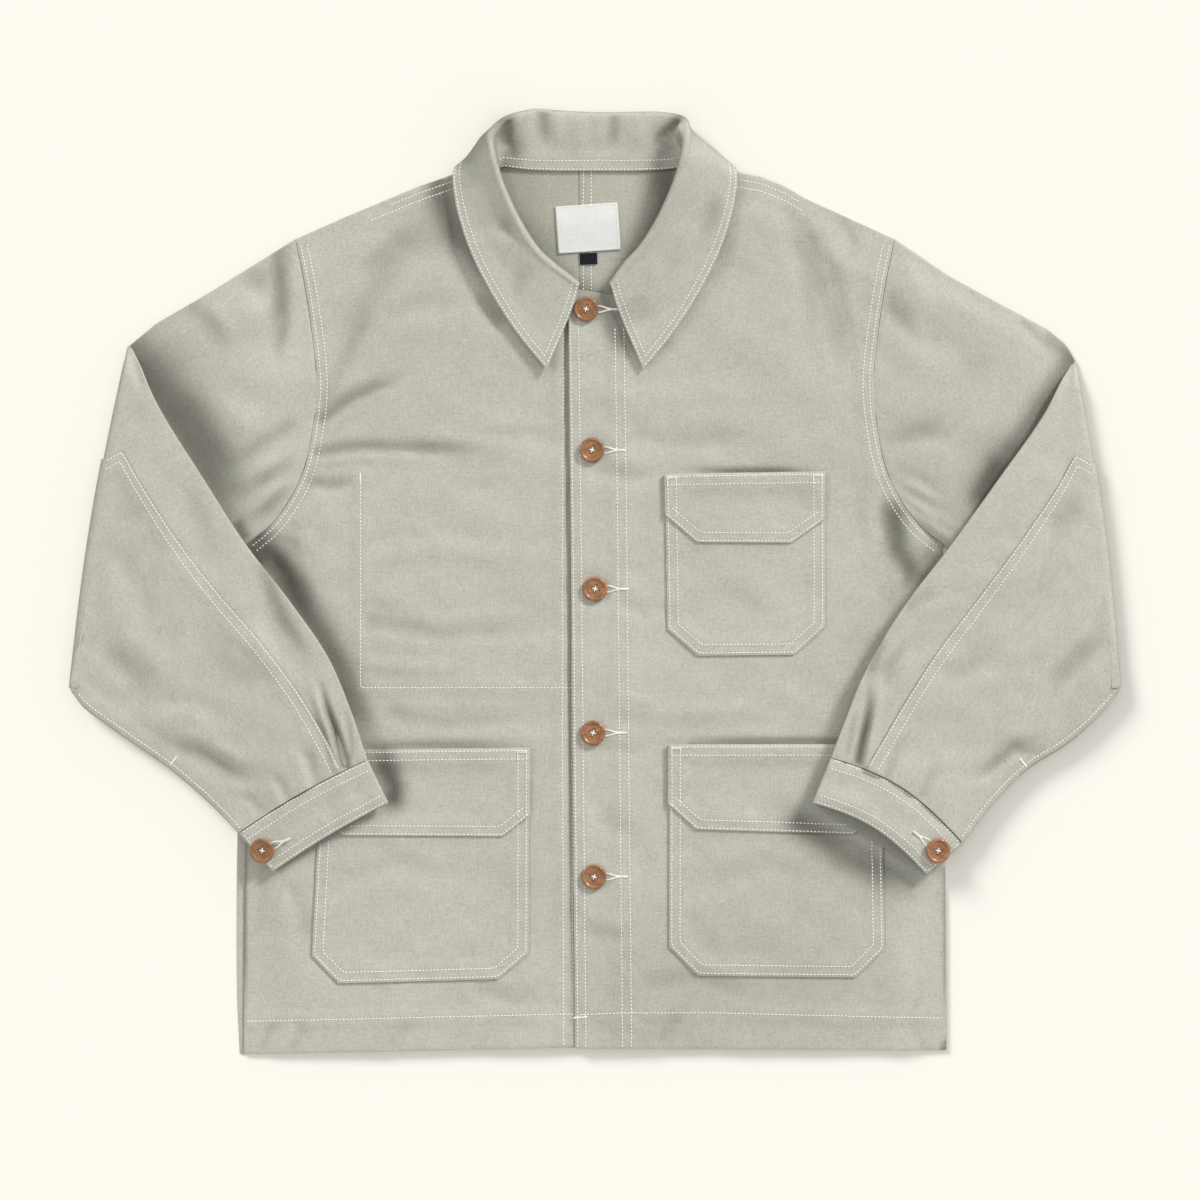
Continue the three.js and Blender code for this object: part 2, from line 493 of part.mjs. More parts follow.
// One section of the collar, from the neck seam over the roll to the free edge.
function collarSection(row, side) {
  const seam = vec(side * row.nx, row.ny, row.nz);
  const top = vec(side * row.rx, row.ry, row.rz);
  const edge = vec(side * row.fx, row.fy, row.fz);
  const tilt = THREE.MathUtils.degToRad(row.tilt);
  const standing = row.tilt / 90;
  const outwards = outOfNeck(top.x, top.y);
  const rise = outwards.clone().multiplyScalar(Math.cos(tilt)).addScaledVector(UP, Math.sin(tilt));
  const toStand = outwards.clone().multiplyScalar(-Math.sin(tilt)).addScaledVector(UP, Math.cos(tilt));
  const radius = mix(ROLL_RADIUS.back, ROLL_RADIUS.front, standing);
  const centre = top.clone().addScaledVector(rise, -radius);
  const turn = THREE.MathUtils.degToRad(mix(180, 125, standing));
  const onRoll = (angle) =>
    centre.clone().addScaledVector(toStand, radius * Math.cos(angle)).addScaledVector(rise, radius * Math.sin(angle));
  const leaves = toStand.clone().multiplyScalar(-Math.sin(turn)).addScaledVector(rise, Math.cos(turn));
  const [rollStart, rollEnd] = [onRoll(0), onRoll(turn)];
  const standReach = 0.3 * seam.distanceTo(rollStart);
  const fallReach = 0.35 * rollEnd.distanceTo(edge);
  const lands = edge.clone().sub(rollEnd).setZ(0).normalize();
  const floor = vec(-Infinity, -Infinity, edge.z);
  const stand = new THREE.CubicBezierCurve3(
    seam,
    seam.clone().addScaledVector(rise, standReach),
    rollStart.clone().addScaledVector(rise, -standReach),
    rollStart,
  );
  const fall = new THREE.CubicBezierCurve3(
    rollEnd,
    rollEnd.clone().addScaledVector(leaves, fallReach).max(floor),
    edge.clone().addScaledVector(lands, -fallReach),
    edge,
  );
  const roll = evenly(COLLAR_PARTS.roll).map((t) => onRoll(t * turn));
  return [...stand.getPoints(COLLAR_PARTS.stand).slice(0, -1), ...roll, ...fall.getPoints(COLLAR_PARTS.fall).slice(1)];
}

// The collar, a doubled sheet through all its sections, thickened to both sides of its middle.
function collar() {
  const leftHalf = COLLAR.map((row) => collarSection(row, SIDE.left));
  const rightHalf = COLLAR.slice(1).map((row) => collarSection(row, SIDE.right));
  const middle = [...rightHalf.reverse(), ...leftHalf];
  const at = (r, c) => {
    const row = middle[THREE.MathUtils.clamp(r, 0, middle.length - 1)];
    return row[THREE.MathUtils.clamp(c, 0, row.length - 1)];
  };
  const skin = (distance) =>
    middle.map((row, r) =>
      row.map((p, c) => {
        const along = at(r + 1, c).clone().sub(at(r - 1, c));
        const across = at(r, c + 1).clone().sub(at(r, c - 1));
        return p.clone().addScaledVector(along.cross(across).normalize(), distance);
      }),
    );
  return mesh("collar", wall(skin(DOUBLE_CLOTH / 2), skin(-DOUBLE_CLOTH / 2)), CANVAS);
}

// A pocket and the facing that crosses its mouth, both on a front.
function pocket({ name, pocket: bag, facing }, panels) {
  const panel = name.startsWith("right") ? panels.right : panels.left;
  const knots = (points) => points.map(([x, y]) => vec(x, y));
  const mouthY = bag.from[0][1];
  const lift = (y) => MOUTH_GAP * ease(1 - (mouthY - y) / 20);
  const bagUnder = (x, y) => topOf([panel], x, y) + SEAM + lift(y);
  const piece = (title, edges, steps, under) =>
    mesh(
      title,
      sheet(alongKnots(knots(edges.from), steps), alongKnots(knots(edges.to), steps), evenly(POCKET_COLUMNS), under),
      CANVAS,
    );
  return [
    piece(name, bag, POCKET_ROWS, bagUnder),
    piece(`${name}_facing`, facing, FACING_ROWS, (x, y) => bagUnder(x, y) + CLOTH + SEAM),
  ];
}

// A rectangle of tape on the inside of the back.
function tape(name, size, material, backs) {
  const turn = THREE.MathUtils.degToRad(size.turn);
  const corner = (u, v) =>
    vec(u * size.width, v * size.height).applyAxisAngle(UP, turn).add(vec(size.x, size.y));
  const from = alongKnots([corner(-0.5, 0.5), corner(-0.5, -0.5)], [8]);
  const to = alongKnots([corner(0.5, 0.5), corner(0.5, -0.5)], [8]);
  return mesh(name, sheet(from, to, evenly(2), (x, y) => topOf(backs, x, y) + SEAM, size.thick), material);
}

const solid = (geometry) => {
  const flat = geometry.index ? geometry.toNonIndexed() : geometry;
  const position = flat.getAttribute("position");
  const made = new wasm.Mesh({
    numProp: 3,
    vertProperties: new Float32Array(position.array),
    triVerts: Uint32Array.from({ length: position.count }, (_, i) => i),
  });
  made.merge();
  return new wasm.Manifold(made);
};

// A four-hole button with a raised rim, its underside on the XY plane.
function buttonGeometry() {
  const { radius, thick, rim, dish, hole, holePitch, sides } = BUTTON;
  const outline = [
    [0, 0],
    [radius - 1.6, 0],
    [radius, 1.1],
    [radius, thick - 1],
    [radius - 0.9, thick],
    [radius - rim, thick],
    [radius - rim - dish, thick - dish],
    [0, thick - dish],
  ];
  const disc = new THREE.LatheGeometry(outline.map(([x, y]) => new THREE.Vector2(x, y)), sides);
  let body = solid(disc.rotateX(Math.PI / 2));
  for (const sx of [-0.5, 0.5]) {
    for (const sy of [-0.5, 0.5]) {
      const drill = new THREE.CylinderGeometry(hole, hole, 4 * thick, 6).rotateX(Math.PI / 2);
      body = body.subtract(solid(drill.translate(sx * holePitch, sy * holePitch, 0)));
    }
  }
  const made = body.getMesh();
  const geometry = new THREE.BufferGeometry();
  geometry.setAttribute("position", new THREE.BufferAttribute(new Float32Array(made.vertProperties), 3));
  return geometry.setIndex([...made.triVerts]);
}

function buttons(panel, cuffs) {
  const geometry = buttonGeometry();
  const placed = (name, at, leans) => {
    const made = mesh(name, geometry, COROZO);
    made.position.copy(at).addScaledVector(leans, BUTTON.stand);
    made.quaternion.setFromUnitVectors(UP, leans);
    return made;
  };
  const onFronts = FRONT_BUTTONS.map(({ x, y }, i) =>
    placed(`front_button_${i + 1}`, vec(x, y, topOf([panel], x, y)), UP),
  );
  const onCuffs = ["right", "left"].map((sideName, i) => {
    const { x, y } = CUFF_BUTTONS[sideName];
    const at = (dx, dy) => vec(x + dx, y + dy, topOf([cuffs[i]], x + dx, y + dy));
    const leans = at(BUTTON_SPREAD, 0).sub(at(-BUTTON_SPREAD, 0)).cross(at(0, BUTTON_SPREAD).sub(at(0, -BUTTON_SPREAD)));
    return placed(`${sideName}_cuff_button`, at(0, 0), leans.normalize());
  });
  return [...onFronts, ...onCuffs];
}

const jacket = new THREE.Group();
const backs = [back("right_back", SIDE.right), back("left_back", SIDE.left)];
const panels = fronts();
jacket.add(...backs, panels.right, panels.left, collar());
for (const sideName of ["right", "left"]) {
  const sections = sleeveSections(sideName);
  jacket.add(sleeve(`${sideName}_sleeve`, sections), elbowPatch(`${sideName}_elbow_patch`, sections));
}
const cuffs = ["right", "left"].map((sideName) => cuff(`${sideName}_cuff`, CUFF[sideName]));
jacket.add(...cuffs, ...POCKETS.flatMap((row) => pocket(row, panels)), ...buttons(panels.left, cuffs));
jacket.add(tape("label", LABEL, WHITE_TAPE, backs), tape("size_tab", SIZE_TAB, BLACK_TAPE, backs));

export default jacket;
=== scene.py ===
"""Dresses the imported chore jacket: heavy washed canvas, buttoned and laid flat on its back, seen from straight above.

Sizes are in millimetres until a mesh is made. +X is to the right of someone who looks down at the jacket, +Y runs up
to the collar and +Z is up. Left and right are the wearer's, so the left front is at +X.
"""

import json
import logging
import math
from collections.abc import Callable
from dataclasses import dataclass, field
from enum import Enum

import bmesh
import bpy
import numpy as np
from mathutils import Matrix, Vector
from mathutils.kdtree import KDTree

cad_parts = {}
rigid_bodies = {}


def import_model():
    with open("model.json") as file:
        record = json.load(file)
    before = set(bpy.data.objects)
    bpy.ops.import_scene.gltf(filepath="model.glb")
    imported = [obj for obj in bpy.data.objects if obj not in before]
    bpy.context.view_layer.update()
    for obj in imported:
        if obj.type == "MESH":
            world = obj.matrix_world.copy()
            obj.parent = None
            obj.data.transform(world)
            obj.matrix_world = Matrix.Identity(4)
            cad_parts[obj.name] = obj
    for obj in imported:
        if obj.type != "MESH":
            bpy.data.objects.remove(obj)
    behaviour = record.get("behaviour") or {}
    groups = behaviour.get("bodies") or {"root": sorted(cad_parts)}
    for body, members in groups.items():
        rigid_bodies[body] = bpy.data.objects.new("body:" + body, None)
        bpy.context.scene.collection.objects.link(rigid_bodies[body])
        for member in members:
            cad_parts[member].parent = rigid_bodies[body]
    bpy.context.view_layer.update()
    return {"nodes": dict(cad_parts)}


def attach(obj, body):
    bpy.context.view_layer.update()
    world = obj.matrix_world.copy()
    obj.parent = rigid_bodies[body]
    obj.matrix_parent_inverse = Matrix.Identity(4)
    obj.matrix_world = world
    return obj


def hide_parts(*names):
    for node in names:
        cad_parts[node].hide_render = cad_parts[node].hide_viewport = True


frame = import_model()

log = logging.getLogger("jacket")

Array = np.ndarray
Colour = tuple[float, float, float, float]
Material = bpy.types.Material
Mesh = bpy.types.Mesh
Piece = bpy.types.Object
Socket = bpy.types.NodeSocket
Tree = bpy.types.NodeTree

# Walls and gaps of the solids, in millimetres. Only the reach of a seam's puckers is in metres.
MM = 0.001
CLOTH = 1.2
DOUBLE_CLOTH = 2.0
SEAM = 0.3
TAPE = 1.0
PATCH_GAP = 0.5
SEAM_REACH = 0.03
PIXEL = 0.8
PICTURE_MIDDLE = (595.0, 584.0)
UP = np.array([0.0, 0.0, 1.0])
TURNED_OVER = (1, 1, 1, -1, -1, -1)
BODY = "root"


class Side(Enum):
    """The wearer's side, with the sign of its X."""

    RIGHT = -1
    LEFT = 1

    @property
    def word(self) -> str:
        """The side's name in piece names."""
        return self.name.lower()


class Edge(Enum):
    """One of the four edges of a skin's rows and columns."""

    FIRST_ROW = 0
    LAST_ROW = 1
    FIRST_COLUMN = 2
    LAST_COLUMN = 3


# ---------------------------------------------------------------- numbers


def ease(t: Array | float) -> Array:
    """Smooth step of t from 0 to 1."""
    t = np.clip(t, 0.0, 1.0)
    return t * t * (3.0 - 2.0 * t)


def mix(a: Array, b: Array, t: Array) -> Array:
    """The value a share t of the way from a to b."""
    return a + (b - a) * t


def unit(v: Array) -> Array:
    """Vectors of length one along the last axis."""
    return v / np.maximum(np.linalg.norm(v, axis=-1, keepdims=True), 1e-12)


def turned(x: float, y: float, degrees: float) -> Array:
    """A plan vector turned anticlockwise."""
    a = math.radians(degrees)
    return np.array([x * math.cos(a) - y * math.sin(a), x * math.sin(a) + y * math.cos(a)])


def refine(values: Array, cell: float, corners: tuple[int, ...] = (), shape: slice = slice(None)) -> Array:
    """Draws a smooth curve through rows of values, with several new rows between each two.

    Args:
        values: array whose first axis is the rows.
        cell: longest step between two new rows, in the units of the values.
        corners: rows at which the curve may turn sharply.
        shape: the values that are coordinates, and so give the distance from row to row.

    Returns:
        The values at the old and new rows.
    """
    step = np.diff(values, axis=0)
    flat = np.linalg.norm(step[..., shape], axis=-1).reshape(len(step), -1)
    counts = np.maximum(1, np.ceil(flat.max(1) / cell)).astype(int)
    grow = (slice(None),) + (None,) * (values.ndim - 1)
    spacing = np.maximum(flat.mean(1), 1e-6)
    slope = step / spacing[grow]
    before, after = spacing[:-1][grow], spacing[1:][grow]
    smooth = (slope[:-1] * after + slope[1:] * before) / (before + after)
    leaving, arriving = np.concatenate([slope[:1], smooth]), np.concatenate([smooth, slope[-1:]])
    for row in corners:
        leaving[row], arriving[row - 1] = slope[row], slope[row - 1]
    out = [values[:1]]
    for i, count in enumerate(counts):
        t = (np.arange(1, count + 1) / count)[grow]
        out.append(
            (1 + 2 * t) * (1 - t) ** 2 * values[i]
            + t * (1 - t) ** 2 * spacing[i] * leaving[i]
            + t * t * (3 - 2 * t) * values[i + 1]
            + t * t * (t - 1) * spacing[i] * arriving[i]
        )
    return np.concatenate(out)


def run_length(points: Array) -> Array:
    """Distance along a line at each of its points."""
    return np.concatenate([[0.0], np.cumsum(np.linalg.norm(np.diff(points, axis=0), axis=1))])


def resample(line: Array, step: float) -> Array:
    """Evenly spaced points along a line, step apart.

    Args:
        line: points of the line, one a row.
        step: distance between two points.

    Returns:
        Points and, in the same row, every further value of the line.
    """
    away = run_length(line[:, :2])
    at = np.linspace(0.0, away[-1], max(1, round(away[-1] / step)) + 1)
    return np.stack([np.interp(at, away, line[:, k]) for k in range(line.shape[1])], axis=1)


def inset_line(points: list[tuple[float, float]], distance: float) -> Array:
    """A plan line moved to its right-hand side, with its corners kept.

    Args:
        points: knots of the line.
        distance: how far it moves.

    Returns:
        The moved knots.
    """
    line = np.array(points, float)
    along = unit(np.diff(line, axis=0))
    right = np.stack([along[:, 1], -along[:, 0]], axis=1)
    moved = [line[0] + right[0] * distance]
    for i in range(1, len(line) - 1):
        both = unit(right[i - 1] + right[i])
        moved.append(line[i] + both * distance / max(0.3, float(both @ right[i])))
    moved.append(line[-1] + right[-1] * distance)
    return np.array(moved)


def in_plan(pixels: tuple[float, ...]) -> Array:
    """Points of the plan from pixels of the measured picture, given as x, y, x, y and so on."""
    return (np.array(pixels, float).reshape(-1, 2) - PICTURE_MIDDLE) * (PIXEL, -PIXEL)


def nearest(knots: Array, x: Array, y: Array) -> tuple[Array, Array, Array]:
    """The nearest place of a line to each point of the plan.

    Args:
        knots: of the line.
        x: of the points.
        y: of the points.

    Returns:
        How far it is, how far to the left of the line the point is, and the share of the line's length before it.
    """
    starts = run_length(knots)
    away, beside, along = np.full(x.shape, 1e9), np.zeros(x.shape), np.zeros(x.shape)
    for knot, step, start, end in zip(knots, np.diff(knots, axis=0), starts[:-1], starts[1:]):
        length = end - start
        rx, ry = x - knot[0], y - knot[1]
        reach = np.clip((rx * step[0] + ry * step[1]) / length**2, 0.0, 1.0)
        far = np.hypot(rx - reach * step[0], ry - reach * step[1])
        closer = far < away
        away = np.where(closer, far, away)
        beside = np.where(closer, (ry * step[0] - rx * step[1]) / length, beside)
        along = np.where(closer, start + reach * length, along)
    return away, beside, along / starts[-1]


@dataclass(frozen=True)
class Fold:
    """A soft fold or dent: a line along it, its width, and how far it stands up or sinks in."""

    x0: float
    y0: float
    x1: float
    y1: float
    width: float
    height: float

    def at(self, x: Array, y: Array) -> Array:
        """Height that the fold adds at each point."""
        away, _, _ = nearest(np.array([(self.x0, self.y0), (self.x1, self.y1)], float), x, y)
        return self.height * np.exp(-((away / self.width) ** 2))


@dataclass(frozen=True)
class Crease:
    """A crease along a line, with a ridge beside it.

    Attributes:
        line: its knots, as pixels of the picture that the jacket was measured in: x, y, x, y and so on.
        width: in millimetres, at which it has mostly died out.
        height: of its middle. A negative one sinks in.
        ridge: share of the height, turned over, beside it on the left of the line. A negative one is on the right.
        opens: how much of the height it has at its first knot. It always dies out at its last one.
    """

    line: tuple[float, ...]
    width: float
    height: float
    ridge: float = 0.6
    opens: float = 1.0

    def at(self, x: Array, y: Array) -> Array:
        """Height that the crease adds at each point."""
        away, beside, share = nearest(in_plan(self.line), x, y)
        taper = mix(self.opens, 1.0, ease(share / 0.3)) * ease((1.0 - share) / 0.45)
        past = np.maximum(away**2 - beside**2, 0.0)
        side = math.copysign(1.7 * self.width, self.ridge)
        ridge = abs(self.ridge) * np.exp(-(past + (beside - side) ** 2) / self.width**2)
        return self.height * taper * (np.exp(-(away**2) / self.width**2) - ridge)


@dataclass(frozen=True)
class Swell:
    """Slow uneven waves of slack cloth."""

    wavelength: float
    height: float
    seed: int

    def at(self, x: Array, y: Array) -> Array:
        """Height of the waves at each point."""
        rng = np.random.default_rng(self.seed)
        total = np.zeros_like(x)
        for _ in range(14):
            angle, phase = rng.uniform(0.0, 2 * math.pi, 2)
            k = 2 * math.pi / (self.wavelength * rng.uniform(0.7, 1.5))
            total = total + np.sin(k * (x * math.cos(angle) + y * math.sin(angle)) + phase)
        return total * self.height / math.sqrt(7.0)


def crease_rows(*rows: tuple) -> tuple[Crease, ...]:
    """Creases, each given by a row of its values."""
    return tuple(Crease(*row) for row in rows)


def plain_rows(*rows: tuple) -> tuple[Crease, ...]:
    """Creases without a ridge, each given by its line, width, height and perhaps how far it opens."""
    return tuple(Crease(line, width, height, 0.0, *opens) for line, width, height, *opens in rows)


def heights(folds: tuple[Fold | Crease | Swell, ...], x: Array, y: Array) -> Array:
    """What some folds add together at each point."""
    return sum(f.at(x, y) for f in folds)


def trough_shade(dents: Array, least: float, most: float, share: float) -> Array:
    """Painted shade in the troughs of dents: a share for each millimetre past the least, up to the most."""
    return np.clip(-dents - least, 0.0, most) * share


def shaded(shades: tuple[Crease, ...], x: Array, y: Array, painted_shade: Array | float = 0.0) -> Array:
    """Painted shade at each point, from 0 to 1, with these lines of painted shade laid over what it has already."""
    return 1.0 - (1.0 - painted_shade) * math.prod(1.0 - np.clip(c.at(x, y), 0.0, 1.0) for c in shades)


# ---------------------------------------------------------------- skins


@dataclass
class Skin:
    """The shown side of a piece of cloth, as rows and columns of points.

    Attributes:
        points: rows, columns and coordinates.
        grain: rows, columns and the two coordinates of the cloth's own plane.
        painted_shade: painted shade at each point, from 0 to 1, most in creases and recesses.
    """

    points: Array
    grain: Array
    painted_shade: Array | None = None

    @classmethod
    def over(cls, plan: Array, height: Array, painted_shade: Array | None = None) -> "Skin":
        """A skin over a plan, which is its grain too."""
        return cls(np.concatenate([plan, height[..., None]], axis=2), plan.copy(), painted_shade)

    def normals(self) -> Array:
        """Upright directions of the skin at its points."""
        across = np.gradient(self.points, axis=1)
        along = np.gradient(self.points, axis=0)
        return unit(np.cross(across, along))

    def inset(self, edge: Edge, distance: float, start: float = 0.0, end: float = 1.0) -> Array:
        """A line that runs at a distance inside one edge.

        Args:
            edge: the edge that the line follows.
            distance: from the edge, measured over the cloth.
            start: share of the edge that is left out before the line begins.
            end: share of the edge at which the line ends.

        Returns:
            Points and normals, six numbers a row.
        """
        both = np.concatenate([self.points, self.normals()], axis=2)
        if edge in (Edge.FIRST_ROW, Edge.LAST_ROW):
            both = both.swapaxes(0, 1)
        if edge in (Edge.LAST_ROW, Edge.LAST_COLUMN):
            both = both[:, ::-1]
        both = both[round(start * (len(both) - 1)) : round(end * (len(both) - 1)) + 1]
        line = []
        for row in both:
            away = run_length(row[:, :3])
            line.append([np.interp(distance, away, row[:, k]) for k in range(6)])
        return np.array(line)

    def part(self, rows: slice, columns: slice) -> "Skin":
        """The skin of some of the rows and columns."""
        return Skin(self.points[rows, columns], self.grain[rows, columns])


def laid_on(line: Array, step: float, height: Callable[[Array, Array], Array]) -> Array:
    """Lays a plan line on a surface.

    Args:
        line: points of the plan.
        step: between two points of the result.
        height: of the surface at x and y.

    Returns:
        Points and normals, six numbers a row.
    """
    x, y = resample(line, step).T
    gx = (height(x + 1, y) - height(x - 1, y)) / 2
    gy = (height(x, y + 1) - height(x, y - 1)) / 2
    normal = unit(np.stack([-gx, -gy, np.ones_like(gx)], axis=1))
    return np.concatenate([np.stack([x, y, height(x, y)], axis=1), normal], axis=1)


def laid_flat(line: Array, step: float, height: Callable[[Array, Array], Array], up: float = 1.0) -> Array:
    """Lays a plan line on a nearly level surface: points and normals, six numbers a row."""
    x, y = resample(line, step).T
    level = np.zeros_like(x)
    return np.stack([x, y, height(x, y), level, level, level + up], axis=1)


def cloth_grain(points: Array) -> Array:
    """Distances over the cloth, across and along it, from its first column and row."""
    across = np.cumsum(np.linalg.norm(np.diff(points, axis=1, prepend=points[:, :1]), axis=2), axis=1)
    along = np.cumsum(np.linalg.norm(np.diff(points, axis=0, prepend=points[:1]), axis=2), axis=0)
    return np.stack([across, along], axis=2)


def grid_mesh(name: str, skin: Skin, closed: bool) -> Mesh:
    """Lays a grid over a skin's points.

    Args:
        name: of the mesh.
        skin: the points that the grid takes.
        closed: whether the last column is the first one again, as round a sleeve.

    Returns:
        The mesh, in metres, with its grain as a UV map.
    """
    rows, columns = skin.points.shape[:2]
    bm = bmesh.new()
    bmesh.ops.create_grid(bm, x_segments=columns - 1, y_segments=rows - 1, size=1.0)
    mesh = bpy.data.meshes.new(name)
    bm.to_mesh(mesh)
    flat = np.empty(len(mesh.vertices) * 3)
    mesh.vertices.foreach_get("co", flat)
    flat = (flat.reshape(-1, 3) + 1.0) / 2.0
    index = np.rint(flat[:, 1] * (rows - 1)).astype(int) * columns + np.rint(flat[:, 0] * (columns - 1)).astype(int)
    mesh.vertices.foreach_set("co", (skin.points.reshape(-1, 3)[index] * MM).astype(np.float32).ravel())
    corner = np.empty(len(mesh.loops), int)
    mesh.loops.foreach_get("vertex_index", corner)
    grain = mesh.uv_layers.new(name="grain")
    grain.data.foreach_set("uv", (skin.grain.reshape(-1, 2)[index][corner] * MM).astype(np.float32).ravel())
    bm.clear()
    bm.from_mesh(mesh)
    if closed:
        bmesh.ops.remove_doubles(bm, verts=bm.verts, dist=1e-6)
    bm.normal_update()
    middle = sum((v.co for v in bm.verts), Vector()) / len(bm.verts)
    ways = [(f.calc_center_median() - middle).dot(f.normal) if closed else f.normal.z for f in bm.faces]
    if sum(way * f.calc_area() for way, f in zip(ways, bm.faces)) < 0:
        bmesh.ops.reverse_faces(bm, faces=bm.faces)
    bm.to_mesh(mesh)
    bm.free()
    mesh.shade_smooth()
    return mesh


def finished(obj: Piece, material: Material, nodes: tuple[str, ...]) -> None:
    """Gives a piece its material, its body and the CAD nodes that it stands for.

    Args:
        obj: the piece.
        material: its finish.
        nodes: CAD nodes that it replaces.
    """
    obj.data.materials.clear()
    obj.data.materials.append(material)
    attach(obj, BODY)
    if nodes:
        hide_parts(*nodes)
    log.info("%s: %d faces", obj.name, len(obj.data.polygons))


def linked(mesh: Mesh) -> Piece:
    """A new object for a mesh, in the scene."""
    obj = bpy.data.objects.new(mesh.name, mesh)
    bpy.context.scene.collection.objects.link(obj)
    return obj


def mesh_of(bm: bmesh.types.BMesh, name: str) -> Mesh:
    """Turns a finished bmesh into a mesh."""
    mesh = bpy.data.meshes.new(name)
    bm.to_mesh(mesh)
    bm.free()
    return mesh


def search_tree(spots: Array) -> KDTree:
    """A tree that finds the nearest of some points."""
    tree = KDTree(len(spots))
    for i, spot in enumerate(spots):
        tree.insert(Vector(spot), i)
    tree.balance()
    return tree


def store(mesh: Mesh, name: str, values: list[float]) -> None:
    """Stores one value at each vertex."""
    mesh.attributes.new(name, "FLOAT", "POINT").data.foreach_set("value", np.array(values, np.float32))


def seam_distance(mesh: Mesh, lines: list[Array]) -> None:
    """Stores at each vertex how far the nearest row of stitches is.

    Args:
        mesh: the cloth, in metres.
        lines: rows of stitches, in millimetres.
    """
    if not lines:
        store(mesh, "seam", [SEAM_REACH] * len(mesh.vertices))
        return
    tree = search_tree(np.concatenate([resample(line, 2.0)[:, :3] for line in lines]) * MM)
    store(mesh, "seam", [min(SEAM_REACH, tree.find(v.co)[2]) for v in mesh.vertices])


def store_painted_shade(mesh: Mesh, depth: Array) -> None:
    """Stores at each vertex its painted shade, which darkens the cloth's colour most in creases and recesses.

    Args:
        mesh: the cloth, in metres, not yet thickened.
        depth: rows of a point, in metres, and its painted shade, from 0 to 1.
    """
    tree = search_tree(depth[:, :3])
    store(mesh, "painted_shade", [depth[tree.find(v.co)[1], 3] for v in mesh.vertices])


@dataclass(frozen=True)
class Cut:
    """The flat cut of a piece of cloth, in metres and square metres."""

    width: float
    length: float
    area: float
    held: str = "laid"
    rests_on: tuple[str, ...] = ()


def cloth_piece(
    node: str,
    skin: Skin,
    thickness: float,
    material: Material,
    cut: Cut,
    seams: list[Array],
    closed: bool = False,
) -> None:
    """Makes a piece of cloth from its shown skin, and gives it its thickness.

    Args:
        node: the CAD node that it stands for.
        skin: its shown side.
        thickness: of the cloth.
        material: its finish.
        cut: its flat size, which is not used.
        seams: the rows of stitches on it.
        closed: whether it is a tube.
    """
    mesh = grid_mesh(f"{node}_cloth", skin, closed)
    seam_distance(mesh, seams)
    # Painted shade: the skin's own, and more where the cloth turns to face sideways at its edges.
    shade_amount = np.zeros(skin.points.shape[:2]) if skin.painted_shade is None else np.clip(skin.painted_shade, 0.0, 1.0)
    shade_amount = 1.0 - (1.0 - shade_amount) * (1.0 - 0.5 * ease((0.88 - np.abs(skin.normals()[..., 2])) / 0.6))
    store_painted_shade(mesh, np.concatenate([skin.points.reshape(-1, 3) * MM, shade_amount.reshape(-1, 1)], axis=1))
    obj = linked(mesh)
    wall = obj.modifiers.new("thickness", "SOLIDIFY")
    wall.thickness = thickness * MM
    wall.offset = -1.0
    rim = obj.modifiers.new("worn edge", "BEVEL")
    rim.width = 0.28 * thickness * MM
    rim.segments = 2
    rim.limit_method = "ANGLE"
    rim.angle_limit = math.radians(50)
    finished(obj, material, (node,))
    list(cut.rests_on)


# ---------------------------------------------------------------- shading


def darker(colour: Colour, share: float) -> Colour:
    """A share of a colour's brightness."""
    return tuple(c * share for c in colour[:3]) + (1.0,)


class Graph:
    """A node tree and short ways to add to it."""

    def __init__(self, tree: Tree) -> None:
        """Keeps the tree that nodes go into."""
        self.tree = tree

    def add(self, kind: str, **values: object) -> bpy.types.Node:
        """Adds a node. A value is a property, or an input by its name, where _ stands for a space.

        Args:
            kind: Blender's name of the node type.
            **values: properties and inputs, where i and a number is the input of that number. A socket is linked,
                and anything else is set.

        Returns:
            The node.
        """
        node = self.tree.nodes.new(kind)
        for key, value in values.items():
            if hasattr(node, key):
                setattr(node, key, value)
                continue
            numbered = key[0] == "i" and key[1:].isdigit()
            socket = node.inputs[int(key[1:])] if numbered else node.inputs[key.replace("_", " ")]
            if isinstance(value, Socket):
                self.tree.links.new(value, socket)
            else:
                socket.default_value = value
        return node

    def math(self, operation: str, a: object, b: object = 0.0) -> Socket:
        """The result of a Math node on two values or sockets."""
        return self.add("ShaderNodeMath", operation=operation, i0=a, i1=b).outputs[0]

    def ramp(self, value: Socket, low: float, high: float, to: tuple[float, float]) -> Socket:
        """A value's place between low and high, mapped smoothly onto a range."""
        node = self.add(
            "ShaderNodeMapRange", interpolation_type="SMOOTHSTEP",
            Value=value, From_Min=low, From_Max=high, To_Min=to[0], To_Max=to[1],
        )
        return node.outputs[0]

    def blend(self, mode: str, share: object, a: object, b: object) -> Socket:
        """Two colours mixed, with a share of the second."""
        return self.add("ShaderNodeMix", data_type="RGBA", blend_type=mode, i0=share, i6=a, i7=b).outputs[2]

    def noise(self, place: Socket, scale: float, detail: float, **values: float) -> Socket:
        """The value of a noise texture."""
        return self.add("ShaderNodeTexNoise", Vector=place, Scale=scale, Detail=detail, **values).outputs["Fac"]

    def bump(self, height: Socket, strength: float, distance: float, **values: Socket) -> Socket:
        """The normal of a surface with this relief."""
        node = self.add("ShaderNodeBump", Height=height, Strength=strength, Distance=distance, **values)
        return node.outputs[0]

    def place(self) -> Socket:
        """The object's own coordinates."""
        return self.add("ShaderNodeTexCoord").outputs["Object"]

    def surface(self, **values: object) -> None:
        """Adds the material's own shader, with these inputs, and its output."""
        shader = self.add("ShaderNodeBsdfPrincipled", **values)
        self.add("ShaderNodeOutputMaterial", Surface=shader.outputs[0])


